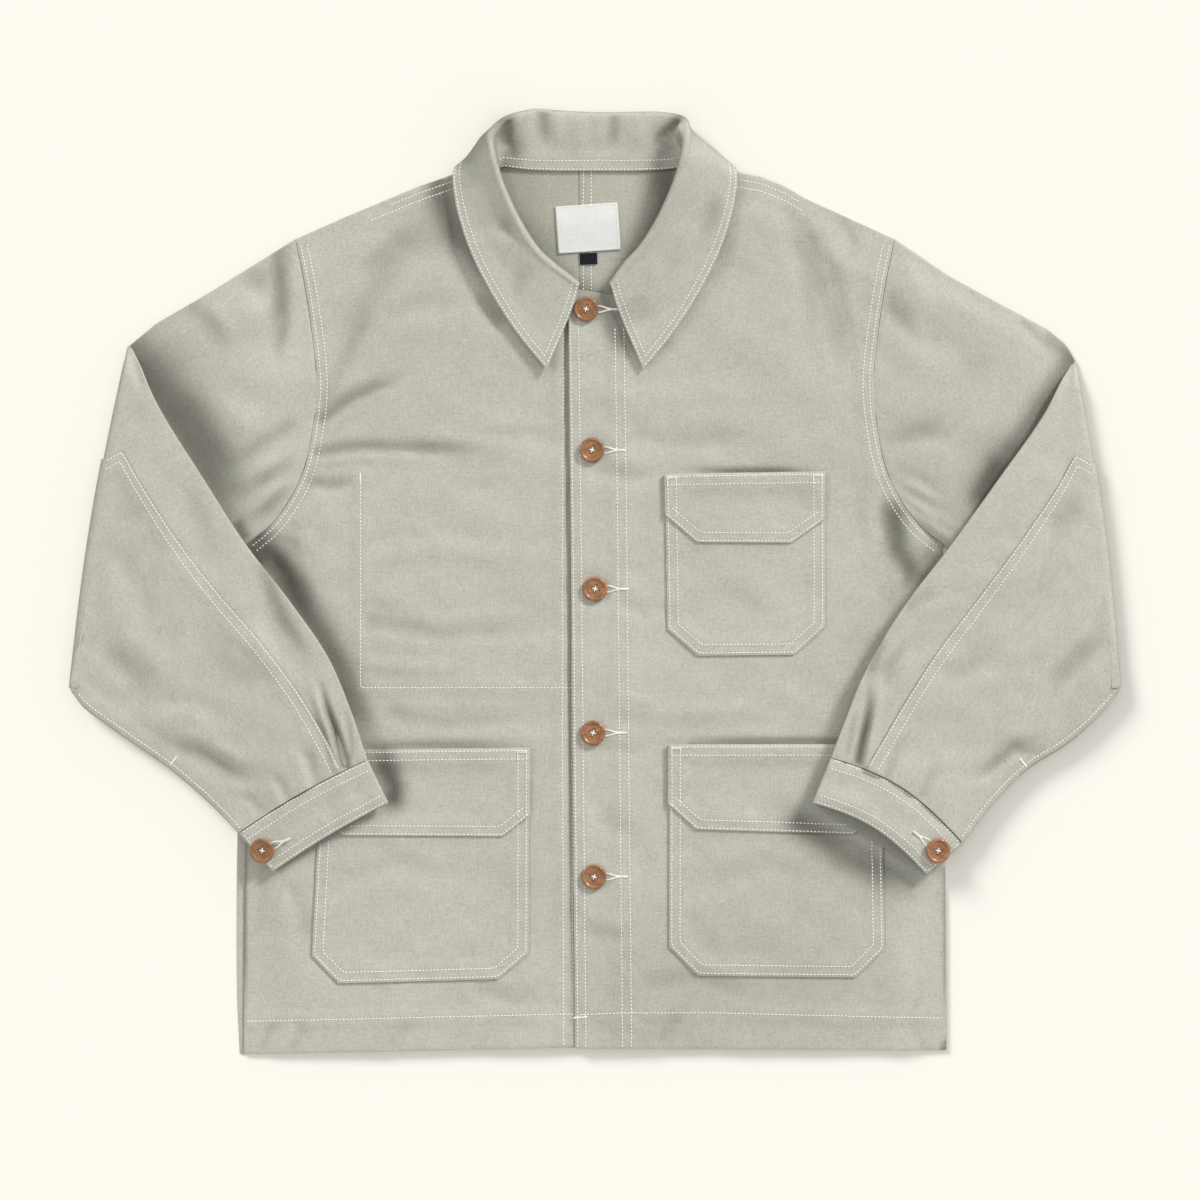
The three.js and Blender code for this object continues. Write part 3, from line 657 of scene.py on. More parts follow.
def blank_material(name: str) -> tuple[Material, Graph]:
    """A new material without any nodes, and its graph."""
    made = bpy.data.materials.new(name)
    made.use_nodes = True
    made.node_tree.nodes.clear()
    return made, Graph(made.node_tree)


def new_group(name: str, takes: dict[str, str], gives: dict[str, str]) -> tuple[Graph, dict[str, Socket]]:
    """Starts a shader node group.

    Args:
        name: of the group.
        takes: inputs and their socket types.
        gives: outputs and their socket types.

    Returns:
        The group's graph, and what comes in by its inputs.
    """
    tree = bpy.data.node_groups.new(name, "ShaderNodeTree")
    for way, sockets in (("INPUT", takes), ("OUTPUT", gives)):
        for title, kind in sockets.items():
            tree.interface.new_socket(title, in_out=way, socket_type=f"NodeSocket{kind}")
    graph = Graph(tree)
    given = graph.add("NodeGroupInput").outputs
    return graph, {title: given[title] for title in takes}


class Weaves:
    """The effects that several finishes share, each one node group."""

    def __init__(self) -> None:
        """Builds the groups."""
        self.plain = self._plain_weave()
        self.tone = self._cloth_tone()
        self.pucker = self._seam_pucker()

    @staticmethod
    def _plain_weave() -> Tree:
        """Over and under threads of a plain weave, and slubs along them."""
        graph, given = new_group(
            "plain_weave", {"Vector": "Vector", "Pitch": "Float"}, {"Height": "Float", "Slub": "Float"}
        )
        split = graph.add("ShaderNodeSeparateXYZ", Vector=given["Vector"])
        u, v = (graph.math("DIVIDE", split.outputs[k], given["Pitch"]) for k in (0, 1))
        warp, weft = (graph.math("ABSOLUTE", graph.math("SINE", graph.math("MULTIPLY", w, math.pi))) for w in (u, v))
        cells = graph.math("ADD", graph.math("FLOOR", u), graph.math("FLOOR", v))
        over = graph.math("ABSOLUTE", graph.math("MODULO", cells, 2.0))
        across, along = (
            graph.math("ADD", graph.math("MULTIPLY", a, 0.75), graph.math("MULTIPLY", b, 0.25))
            for a, b in ((warp, weft), (weft, warp))
        )
        under = graph.math("MULTIPLY", along, graph.math("SUBTRACT", 1.0, over))
        shown = graph.math("ADD", graph.math("MULTIPLY", across, over), under)
        slubs = []
        for scale in ((950.0, 90.0, 1.0), (90.0, 950.0, 1.0)):
            stretched = graph.add("ShaderNodeVectorMath", operation="MULTIPLY", i0=given["Vector"], i1=scale)
            slubs.append(graph.noise(stretched.outputs[0], 1.0, 2.0, Roughness=0.6))
        both = graph.math("MULTIPLY", graph.math("ADD", *slubs), 0.5)
        graph.add("NodeGroupOutput", Height=shown, Slub=both)
        return graph.tree

    @staticmethod
    def _cloth_tone() -> Tree:
        """Uneven colour of washed cloth: broad patches, mottling, slubs and a few dark flecks."""
        takes = {"Vector": "Vector", "Colour": "Color", "Slub": "Float", "Amount": "Float"}
        graph, given = new_group("cloth_tone", takes, {"Colour": "Color"})
        total = graph.math("MULTIPLY", graph.math("SUBTRACT", given["Slub"], 0.5), 0.9)
        for scale, detail, weight in ((9.0, 3.0, 0.22), (60.0, 3.0, 0.20), (480.0, 3.0, 0.55), (900.0, 1.0, 0.55)):
            uneven = graph.math("SUBTRACT", graph.noise(given["Vector"], scale, detail), 0.5)
            total = graph.math("ADD", total, graph.math("MULTIPLY", uneven, weight))
        factor = graph.math("ADD", 1.0, graph.math("MULTIPLY", total, given["Amount"]))
        shaded = graph.add("ShaderNodeVectorMath", operation="SCALE", i0=given["Colour"], Scale=factor)
        hue = graph.ramp(graph.noise(given["Vector"], 38.0, 3.0), 0.35, 0.65, (0.0, 0.5))
        tinted = graph.blend("MULTIPLY", hue, shaded.outputs[0], (0.965, 0.99, 1.0, 1.0))
        specks = graph.add("ShaderNodeTexVoronoi", Vector=given["Vector"], Scale=95.0)
        fleck = graph.ramp(specks.outputs["Distance"], 0.035, 0.07, (0.35, 0.0))
        graph.add("NodeGroupOutput", Colour=graph.blend("MIX", fleck, tinted, (0.16, 0.14, 0.10, 1.0)))
        return graph.tree

    @staticmethod
    def _seam_pucker() -> Tree:
        """Small bumps drawn up by a row of stitches, and the shade of the groove that it lies in."""
        graph, given = new_group(
            "seam_pucker", {"Vector": "Vector", "Seam": "Float"}, {"Height": "Float", "Groove": "Float"}
        )
        near = graph.ramp(given["Seam"], 0.001, 0.011, (1.0, 0.0))
        bumps = graph.math("ADD", *(graph.noise(given["Vector"], scale, 2.0) for scale in (110.0, 36.0)))
        groove = graph.ramp(given["Seam"], 0.0, 0.003, (1.0, 0.0))
        graph.add("NodeGroupOutput", Height=graph.math("MULTIPLY", bumps, near), Groove=groove)
        return graph.tree

    def cloth(self, graph: Graph, colour: Colour, pitch: float, unevenness: float) -> tuple[Socket, Socket, Socket]:
        """Adds what every woven finish has.

        Args:
            graph: the material's.
            colour: of the cloth.
            pitch: of its threads, in metres.
            unevenness: how strongly its tone varies.

        Returns:
            The height of its threads, its slubs and its uneven colour.
        """
        grain = graph.add("ShaderNodeUVMap", uv_map="grain").outputs[0]
        weave = graph.add("ShaderNodeGroup", node_tree=self.plain, Vector=grain, Pitch=pitch).outputs
        tone = graph.add(
            "ShaderNodeGroup", node_tree=self.tone,
            Vector=graph.place(), Slub=weave["Slub"], Colour=colour, Amount=unevenness,
        )
        return weave["Height"], weave["Slub"], tone.outputs["Colour"]


@dataclass(frozen=True)
class Canvas:
    """Heavy washed canvas in its natural colour."""

    name: str = "washed_canvas"
    colour: Colour = (0.494, 0.482, 0.408, 1.0)
    pitch: float = 0.00062
    unevenness: float = 0.64
    pucker: float = 0.55
    # Colour that the painted shade darkens the canvas towards.
    painted_shade: Colour = (0.26, 0.255, 0.235, 1.0)
    roughness: float = 0.93
    sheen: float = 0.12

    def material(self, weaves: Weaves) -> Material:
        """Makes the material from the shared groups."""
        made, graph = blank_material(self.name)
        threads, slub, colour = weaves.cloth(graph, self.colour, self.pitch, self.unevenness)
        seam, painted_shade = (graph.add("ShaderNodeAttribute", attribute_name=n).outputs["Fac"] for n in ("seam", "painted_shade"))
        pucker = graph.add("ShaderNodeGroup", node_tree=weaves.pucker, Vector=graph.place(), Seam=seam).outputs
        # Painted shade along the rows of stitches, in the grooves that they draw.
        groove = graph.math("MULTIPLY", pucker["Groove"], 0.35)
        colour = graph.blend("MIX", groove, colour, darker(self.colour, 0.88))
        woven = graph.bump(threads, 0.35, 0.00012)
        # The base colour is darkened by the painted shade stored at each vertex.
        graph.surface(
            Base_Color=graph.blend("MULTIPLY", painted_shade, colour, self.painted_shade),
            Roughness=graph.ramp(slub, 0.3, 0.7, (self.roughness - 0.05, self.roughness + 0.04)),
            Normal=graph.bump(pucker["Height"], self.pucker, 0.0011, Normal=woven),
            Specular_IOR_Level=0.25, Sheen_Weight=self.sheen, Sheen_Roughness=0.6,
        )
        return made


@dataclass(frozen=True)
class Tape:
    """Woven label tape."""

    name: str
    colour: Colour
    pitch: float = 0.00035
    unevenness: float = 0.25

    def material(self, weaves: Weaves) -> Material:
        """Makes the material from the shared groups."""
        made, graph = blank_material(self.name)
        threads, _, colour = weaves.cloth(graph, self.colour, self.pitch, self.unevenness)
        normal = graph.bump(threads, 0.4, 0.0001)
        graph.surface(Base_Color=colour, Normal=normal, Roughness=0.8, Specular_IOR_Level=0.15)
        return made


@dataclass(frozen=True)
class Thread:
    """Cream sewing thread, with the twist of its plies."""

    name: str = "cream_thread"
    colour: Colour = (0.93, 0.92, 0.86, 1.0)

    def material(self) -> Material:
        """Makes the material."""
        made, graph = blank_material(self.name)
        place = graph.place()
        worn = graph.ramp(graph.noise(place, 240.0, 2.0), 0.4, 0.7, (0.0, 0.8))
        colour = graph.blend("MIX", worn, self.colour, darker(self.colour, 0.86))
        plies = graph.bump(graph.noise(place, 2600.0, 1.0), 0.5, 0.0001)
        graph.surface(Base_Color=colour, Normal=plies, Roughness=0.6, Sheen_Weight=0.2)
        return made


@dataclass(frozen=True)
class Corozo:
    """Turned corozo nut, polished, with the fine rings and veins of the nut."""

    name: str = "corozo_nut"
    light: Colour = (0.385, 0.183, 0.077, 1.0)
    dark: Colour = (0.225, 0.09, 0.032, 1.0)

    def material(self) -> Material:
        """Makes the material."""
        made, graph = blank_material(self.name)
        place = graph.place()
        veins = graph.noise(place, 420.0, 4.0, Distortion=1.2)
        cloud = graph.noise(place, 130.0, 2.0)
        share = graph.ramp(graph.math("MULTIPLY", graph.math("ADD", veins, cloud), 0.5), 0.36, 0.64, (0.0, 1.0))
        graph.surface(
            Base_Color=graph.blend("MIX", share, self.light, self.dark),
            Roughness=graph.ramp(cloud, 0.3, 0.7, (0.24, 0.38)),
            Normal=graph.bump(veins, 0.15, 0.0001),
            Coat_Weight=0.25, Coat_Roughness=0.2,
        )
        return made


@dataclass(frozen=True)
class Paper:
    """The pale sweep that the jacket lies on."""

    name: str = "pale_floor"
    colour: Colour = (0.90, 0.875, 0.80, 1.0)

    def material(self) -> Material:
        """Makes the material."""
        made, graph = blank_material(self.name)
        graph.surface(Base_Color=self.colour, Roughness=0.9, Specular_IOR_Level=0.1)
        return made


# ---------------------------------------------------------------- stitches


@dataclass
class Stitches:
    """Sewing thread on the cloth: rows of stitches and dense satin bars, made as one mesh.

    Attributes:
        name: of the mesh.
        length: of one stitch in a row.
        width: of the thread in a row.
        pitch: from one stitch to the next.
        seed: of the small unevenness.
        thick: half of how high a stitch stands.
    """

    name: str
    length: float = 2.15
    width: float = 0.98
    pitch: float = 2.95
    seed: int = 7
    thick: float = 0.34
    centres: list[Array] = field(default_factory=list)
    frames: list[Array] = field(default_factory=list)

    def row(self, line: Array) -> Array:
        """Sews a row.

        Args:
            line: points and normals, six numbers a row.

        Returns:
            The same line, for the cloth's own relief.
        """
        rng = np.random.default_rng(self.seed + len(self.centres))
        spots = resample(line, self.pitch)
        points, normals = spots[:, :3], unit(spots[:, 3:])
        middle = (points[:-1] + points[1:]) / 2
        along = unit(points[1:] - points[:-1])
        up = unit(normals[:-1] + normals[1:])
        aside = unit(np.cross(up, along))
        along = unit(along + aside * rng.normal(0.0, 0.05, (len(along), 1)))
        middle = middle + aside * rng.normal(0.0, 0.07, (len(along), 1))
        size = rng.uniform(0.9, 1.08, (len(along), 1))
        self._add(middle + up * 0.05, along * self.length / 2 * size, aside * self.width / 2, up * self.thick)
        return line

    def satin(self, line: Array, width: float, pitch: float = 0.42) -> None:
        """Sews a dense bar of stitches across a line.

        Args:
            line: points and normals, six numbers a row.
            width: of the bar.
            pitch: from one stitch to the next.
        """
        rng = np.random.default_rng(self.seed + 3 * len(self.centres))
        spots = resample(line, pitch)
        points, up = spots[:, :3], unit(spots[:, 3:])
        along = unit(np.gradient(points, axis=0))
        aside = unit(np.cross(up, along))
        size = rng.uniform(0.85, 1.12, (len(points), 1))
        self._add(points + up * 0.28, aside * width / 2 * size, along * self.thick, up * self.thick)

    def strand(self, start: Array, end: Array, up: Array, width: float) -> None:
        """Lays one loose strand from start to end."""
        start, end, up = (np.asarray(v, float)[None] for v in (start, end, up))
        along = (end - start) / 2
        aside = unit(np.cross(up, along))
        self._add((start + end) / 2, along, aside * width / 2, unit(np.cross(along, aside)) * width / 2)

    def _add(self, centre: Array, along: Array, aside: Array, up: Array) -> None:
        """Stores the middles and half axes of some stitches."""
        self.centres.append(centre)
        self.frames.append(np.stack([along, aside, np.broadcast_to(up, along.shape)], axis=1))

    def build(self, material: Material) -> None:
        """Joins the stitches into one piece of this material."""
        bm = bmesh.new()
        lying = Matrix.Rotation(math.pi / 2, 4, "Y")
        bmesh.ops.create_uvsphere(bm, u_segments=6, v_segments=4, radius=1.0, matrix=lying)
        shape = np.array([v.co for v in bm.verts])
        faces = [[v.index for v in f.verts] for f in bm.faces]
        bm.free()
        centres, frames = np.concatenate(self.centres), np.concatenate(self.frames)
        points = centres[:, None] + np.einsum("vk,nkc->nvc", shape, frames)
        mesh = bpy.data.meshes.new(self.name)
        shifted = [[v + n * len(shape) for v in f] for n in range(len(centres)) for f in faces]
        mesh.from_pydata((points.reshape(-1, 3) * MM).tolist(), [], shifted)
        bm = bmesh.new()
        bm.from_mesh(mesh)
        bmesh.ops.recalc_face_normals(bm, faces=bm.faces)
        bm.to_mesh(mesh)
        bm.free()
        mesh.shade_smooth()
        finished(linked(mesh), material, ())


# ---------------------------------------------------------------- the body


FRONT_FOLDS = (
    Fold(-222, 130, -120, 185, 16, -1.0),
    Fold(-225, 118, -40, 122, 15, -0.9),
    Fold(-205, 96, -60, 100, 16, 0.8),
    Fold(-165, -18, -40, -32, 14, -0.9),
    Fold(-175, -100, -50, -96, 14, -0.8),
    Fold(172, 270, 205, 175, 15, -1.2),
    Fold(214, 60, 236, -20, 14, -1.0),
    Fold(240, -250, 250, -340, 13, 0.8),
)
FRONT_CREASES = crease_rows(
    ((322, 418, 350, 398, 376, 386, 410, 376), 5.5, -1.9, -0.6),
    ((324, 398, 338, 372, 352, 340, 378, 300), 8, -1.3, 0.5),
    ((318, 452, 362, 445, 442, 447, 500, 450), 5.5, -1.8, -0.5),
    ((318, 462, 352, 456, 392, 457), 5, 1.1, 0.4),
    ((312, 484, 335, 486, 358, 480), 5, -1.6),
    ((420, 454, 480, 462, 545, 460), 8, -0.9, 0.5),
    ((548, 426, 500, 424, 452, 430), 6, 0.9, 0.5),
    ((372, 262, 392, 246, 412, 218), 12, -1.4, 0.5),
    ((392, 312, 432, 300, 470, 310), 12, -1.1, -0.5),
    ((438, 178, 452, 215, 478, 260, 500, 300), 9, -1.8),
    ((486, 300, 500, 318, 510, 330), 8, -1.9, 0.3),
    ((372, 560, 430, 548, 505, 556, 560, 550), 8, 0.9),
    ((366, 606, 410, 618, 452, 612), 7, -1.1),
    ((370, 622, 440, 634, 500, 630, 560, 636), 7, -1.4),
    ((372, 664, 420, 670, 476, 664), 6, 1, 0.5),
    ((392, 714, 450, 724, 520, 718, 562, 724), 7, -1.3),
    ((330, 690, 350, 716, 380, 728), 8, -1.3),
    ((252, 540, 268, 560, 292, 590, 300, 640), 8, -2, 0.7),
    ((270, 536, 292, 545, 302, 575), 6, -1.8, -0.6),
    ((262, 556, 282, 572, 284, 610), 6, -1.8, 0.4),
    ((300, 520, 316, 502, 326, 486), 6, 1.2),
    ((808, 222, 829, 268, 843, 330, 851, 392), 6, -1.4),
    ((792, 212, 806, 262, 812, 318, 806, 372), 9, -1.2),
    ((838, 205, 856, 238, 868, 262), 6, -1.3),
    ((892, 512, 896, 550, 912, 588), 8, -2.1, 0.8),
    ((926, 552, 912, 570, 900, 604), 6, -1.9, -0.4),
    ((872, 478, 868, 512, 874, 560), 7, 1.3),
    ((668, 258, 640, 300, 668, 330), 10, -1.3, 0.5),
    ((628, 312, 650, 330, 662, 362), 8, -1.1, 0.5),
    ((610, 395, 650, 402, 700, 392, 760, 400), 11, 1, 0.5),
    ((640, 436, 700, 440, 770, 432), 9, -1.1, 0.5),
    ((600, 470, 628, 476, 660, 472), 6, -1.1),
    ((622, 600, 644, 612, 664, 606), 7, -1.1),
    ((620, 716, 700, 724, 790, 716, 850, 724), 8, -0.9),
    ((660, 716, 740, 712, 820, 722), 7, 1),
    ((600, 745, 632, 752, 655, 748), 6, -1),
    ((606, 820, 632, 835, 640, 868), 8, -1.1),
    ((588, 930, 612, 938, 640, 930), 6, -1.2),
    ((652, 985, 690, 978, 736, 990, 780, 982), 7, -1.2),
    ((660, 1040, 672, 1022, 690, 1012), 6, -1.3),
    ((940, 1042, 930, 1020, 938, 990, 932, 950), 7, 1.4),
    ((268, 870, 262, 910, 250, 960), 8, -1.3),
    ((290, 890, 305, 920, 298, 960), 8, -1.1, -0.6),
    ((262, 1046, 268, 1030, 284, 1018), 5, -1.5, 0.7),
    ((292, 1048, 300, 1032, 296, 1020), 5, -1.3, 0.7),
    ((392, 1044, 404, 1030, 420, 1020), 6, -1, 0.7),
    ((480, 990, 510, 1000, 548, 994), 7, -1.1),
    ((360, 880, 400, 868, 450, 884), 10, -1.1, 0.5),
    ((720, 884, 770, 870, 830, 886), 10, -1.1, 0.5),
    ((690, 930, 720, 960, 790, 952), 11, -0.9, 0.5),
    ((680, 620, 720, 600, 780, 610), 10, -0.9, 0.5),
)
# Lines of painted shade on the fronts: shadows beside the sleeves, cuffs and collar, dark lines along gaps and pocket
# mouths, and creases.
FRONT_SHADES = {
    Side.RIGHT: plain_rows(
        ((252, 530, 282, 566, 314, 620, 342, 672, 368, 738, 384, 782), 12, 0.8),
        ((258, 548, 280, 556, 298, 590, 312, 630), 13, 0.75),
        ((254, 553, 262, 568), 6, 0.95),
        ((392, 262, 376, 290, 352, 330, 338, 372), 12, 0.2),
        ((440, 205, 416, 232, 392, 262), 14, 0.22),
        ((394, 798, 395, 786, 387, 771, 372, 748), 9, 1),
        ((384, 756, 400, 782), 8, 0.6),
        ((438, 160, 438, 195, 450, 234, 470, 272), 10, 0.8),
        ((520, 318, 545, 360, 560, 376), 7, 0.3),
        ((566.5, 262, 566.5, 420, 569.4, 545, 571, 700, 573, 900, 573.5, 1200), 2.4, 0.5),
        ((530, 746.6, 420, 746.2, 318, 748), 2.2, 0.8, 0.2),
        ((244, 842, 243.6, 940, 243.8, 1030), 2.2, 0.75),
        ((322, 418, 350, 398, 376, 386, 410, 376), 7, 0.35),
        ((318, 454, 362, 447, 442, 448, 540, 450), 6, 0.34),
    ),
    Side.LEFT: plain_rows(
        ((936, 556, 914, 592), 8, 0.5),
        ((896, 516, 899, 548, 914, 574, 904, 600), 10, 0.75),
        ((800, 824, 846, 856, 896, 882, 940, 898), 14, 0.8),
        ((700, 471.4, 745, 471, 826, 470.8), 2.2, 0.9, 0.4),
        ((690, 742.2, 780, 741.8, 905, 741.8), 2.4, 1, 0.5),
        ((946, 870, 946.5, 950, 946.5, 1040), 2.2, 0.6),
        ((948, 1042, 944, 1052, 940, 1058), 3, 0.8),
        ((640, 1000, 770, 970, 930, 1000), 70, 0.15),
        ((812, 236, 834, 325, 846, 392), 6, 0.24),
        ((604, 300, 616, 330, 633, 364), 9, 0.8),
    ),
}
# Painted shade inside the back at the neck, where the collar's shadow falls.
NECK_SHADES = plain_rows(
    ((662, 150, 668, 200, 656, 250, 628, 290, 600, 302), 16, 0.85),
    ((642, 258, 622, 278, 606, 290), 8, 0.9),
    ((500, 160, 512, 205, 536, 250, 570, 290), 6, 0.3),
    ((540, 290, 590, 300, 640, 290), 14, 0.5),
    ((540, 160, 556, 240, 600, 300), 60, 0.22),
)
PLACKET_GAPS = plain_rows(
    ((565.6, 250, 565.2, 300, 569.4, 545, 570.6, 760, 572.4, 1100), 3, -2.2),
    ((540, 745.6, 420, 745.2, 318, 747.5), 2.6, -1.9, 0.2),
)
POCKET_MOUTHS = plain_rows(
    ((668, 471.6, 745, 470.6, 832, 470.4), 2.6, -1.9, 0.2),
    ((672, 742.2, 780, 741.6, 905, 741.8), 2.6, -1.9, 0.2),
)


@dataclass(frozen=True)
class BodyShape:
    """Plan and heights of the jacket's body, as the solids have them, with its folds."""

    hem: tuple[float, float, float] = (-376.8, -372.0, -373.5)
    side_hem: float = 281.5
    side_armpit: float = 279.0
    shoulder_neck: tuple[float, float] = (77.5, 335.5)
    bulge_right: tuple = ((78, 0), (114, 6), (140, 6.4), (165, 5.3), (200, 3.5), (240, 0))
    bulge_left: tuple = ((78, 0), (114, 7.5), (132, 11), (152, 10.4), (168, 6.9), (200, 3.9), (240, 0))
    armhole_knots: tuple = ((240, 276.5), (230.5, 228), (223, 166), (226.5, 121), (236, 84), (256, 51), (279, 31))
    air: float = 2.5
    least_air: float = 0.35
    air_rise: float = 45.0
    collar_under: float = 3.0
    overlap: tuple[float, float, float, float, float] = (23.0, 56.0, 32.0, 120.0, 200.0)
    buttons: tuple = ((-7.2, 220), (-2.4, 107.2), (0, -4), (-1.6, -119.2), (-0.8, -234.4))
    swells: tuple[Swell, ...] = (Swell(110.0, 0.42, 3), Swell(40.0, 0.20, 11), Swell(19.0, 0.06, 12))

    def hem_at(self, side: Side) -> float:
        """Where the hem meets the side seam in the plan."""
        return self.hem[0] if side is Side.RIGHT else self.hem[2]

    def bulge(self, x: Array) -> Array:
        """How far the shoulder seam bows up at each x."""
        right, left = (np.interp(np.abs(x), *np.array(t).T) for t in (self.bulge_right, self.bulge_left))
        return np.where(np.asarray(x) < 0, right, left)

    def shoulder_y(self, x: Array) -> Array:
        """Height of the shoulder seam in the plan."""
        (nx, ny), (tx, ty) = self.shoulder_neck, self.armhole_knots[0]
        return mix(ny, ty, (np.abs(x) - nx) / (tx - nx)) + self.bulge(x)

    def bulged(self, plan: Array) -> Array:
        """Points of the plan moved up by their share of the shoulder's bow."""
        bulge = self.bulge(plan[..., 0])
        straight = self.shoulder_y(plan[..., 0]) - bulge
        moved = plan.copy()
        moved[..., 1] += bulge * ease((plan[..., 1] - straight + 60.0) / 60.0)
        return moved

    def armhole(self, side: Side, shares: Array) -> Array:
        """Points of the armhole seam, from the shoulder tip to the armpit.

        Args:
            side: which armhole.
            shares: of the seam's length.

        Returns:
            Plan points.
        """
        knots = np.array(self.armhole_knots, float)
        padded, fine = np.concatenate([knots[:1], knots, knots[-1:]]), []
        for i in range(len(knots) - 1):
            p0, p1, p2, p3 = padded[i : i + 4]
            t = np.linspace(0.0, 1.0, 80, endpoint=i == len(knots) - 2)[:, None]
            v0, v1 = (p2 - p0) / 2, (p3 - p1) / 2
            fine.append((2 * p1 - 2 * p2 + v0 + v1) * t**3 + (3 * p2 - 3 * p1 - 2 * v0 - v1) * t**2 + v0 * t + p1)
        curve = np.concatenate(fine)
        away = run_length(curve)
        at = shares * away[-1]
        return np.stack([side.value * np.interp(at, away, curve[:, 0]), np.interp(at, away, curve[:, 1])], axis=1)

    def back_under(self, x: Array, y: Array) -> Array:
        """Underside of the back."""
        return self.collar_under * ease((y - 260.0) / 36.0) * ease((180.0 - np.abs(x)) / 60.0)

    def back_top(self, x: Array, y: Array) -> Array:
        """Upper side of the back, the jacket's inside."""
        return self.back_under(x, y) + CLOTH

    def relief(self, x: Array, y: Array) -> Array:
        """Air under the fronts with every fold in it."""
        plain = self.air + heights(FRONT_FOLDS, x, y)
        extra = 0.5 + heights(FRONT_CREASES, x, y) + heights(self.swells, x, y)
        for bx, by in self.buttons:
            extra = extra * ease((np.hypot(x - bx, y - by) - 9.0) / 12.0)
        total, room = plain + extra, 1.0 - self.least_air
        return np.where(total < 1.0, self.least_air + room * np.exp(np.minimum(total - 1.0, 0.0) / room), total)

    def front_under(self, x: Array, y: Array) -> Array:
        """Underside of a front."""
        side = ease((self.side_armpit + 2.0 - np.abs(x)) / self.air_rise)
        shoulder = ease((self.shoulder_y(x) - y) / self.air_rise)
        return self.back_top(x, y) + SEAM + self.relief(x, y) * side * shoulder

    def left_front_under(self, x: Array, y: Array) -> Array:
        """Underside of the left front, which lies over the right one at the centre."""
        ends, at_neck, slope, low, high = self.overlap
        reach = mix(ends, at_neck, ease((y - low) / (high - low)))
        return self.front_under(x, y) + (CLOTH + SEAM) * np.clip((reach - x) / slope + 1.0, 0.0, 1.0)

    def front_painted_shade(self, side: Side, x: Array, y: Array) -> Array:
        """Painted shade at each point of a front, from 0 to 1: in the troughs of its creases and along its lines of
        painted shade.
        """
        return shaded(FRONT_SHADES[side], x, y, trough_shade(heights(FRONT_CREASES, x, y), 0.35, 2.0, 0.2))

    def front_top(self, side: Side, x: Array, y: Array) -> Array:
        """Upper side of the front of one side."""
        if side is Side.LEFT:
            return self.left_front_under(x, y) + CLOTH + heights(POCKET_MOUTHS, x, y)
        under = self.front_under(x, y) + heights(PLACKET_GAPS, x, y)
        return np.maximum(under, self.back_top(x, y) + 0.1) + CLOTH


ACROSS = (0.025, 0.07, 0.11, 0.14, 0.18, 0.25, 0.4, 0.55, 0.7, 0.82, 0.91, 0.975)


def along_knots(knots: list[tuple[float, float]] | tuple, steps: list[int]) -> Array:
    """Points of an edge through its knots, with so many equal parts from each knot to the next."""
    points = [np.array(knots[0], float)]
    for i, count in enumerate(steps):
        a, b = np.array(knots[i], float), np.array(knots[i + 1], float)
        points += [mix(a, b, k / count) for k in range(1, count + 1)]
    return np.array(points)


def plan_sheet(start: Array, end: Array, columns: list[float], cell: float, corners: tuple[int, ...]) -> Array:
    """Spans a plan between two edges and refines it.

    Args:
        start: points of the first edge.
        end: as many points of the last edge.
        columns: shares of the way from one edge to the other.
        cell: longest step of the finished rows and columns.
        corners: rows at which an edge turns sharply.

    Returns:
        Rows and columns of plan points.
    """
    plan = np.stack([mix(start, end, s) for s in columns], axis=1)
    rows = refine(plan, cell, corners)
    return refine(rows.swapaxes(0, 1), cell).swapaxes(0, 1)


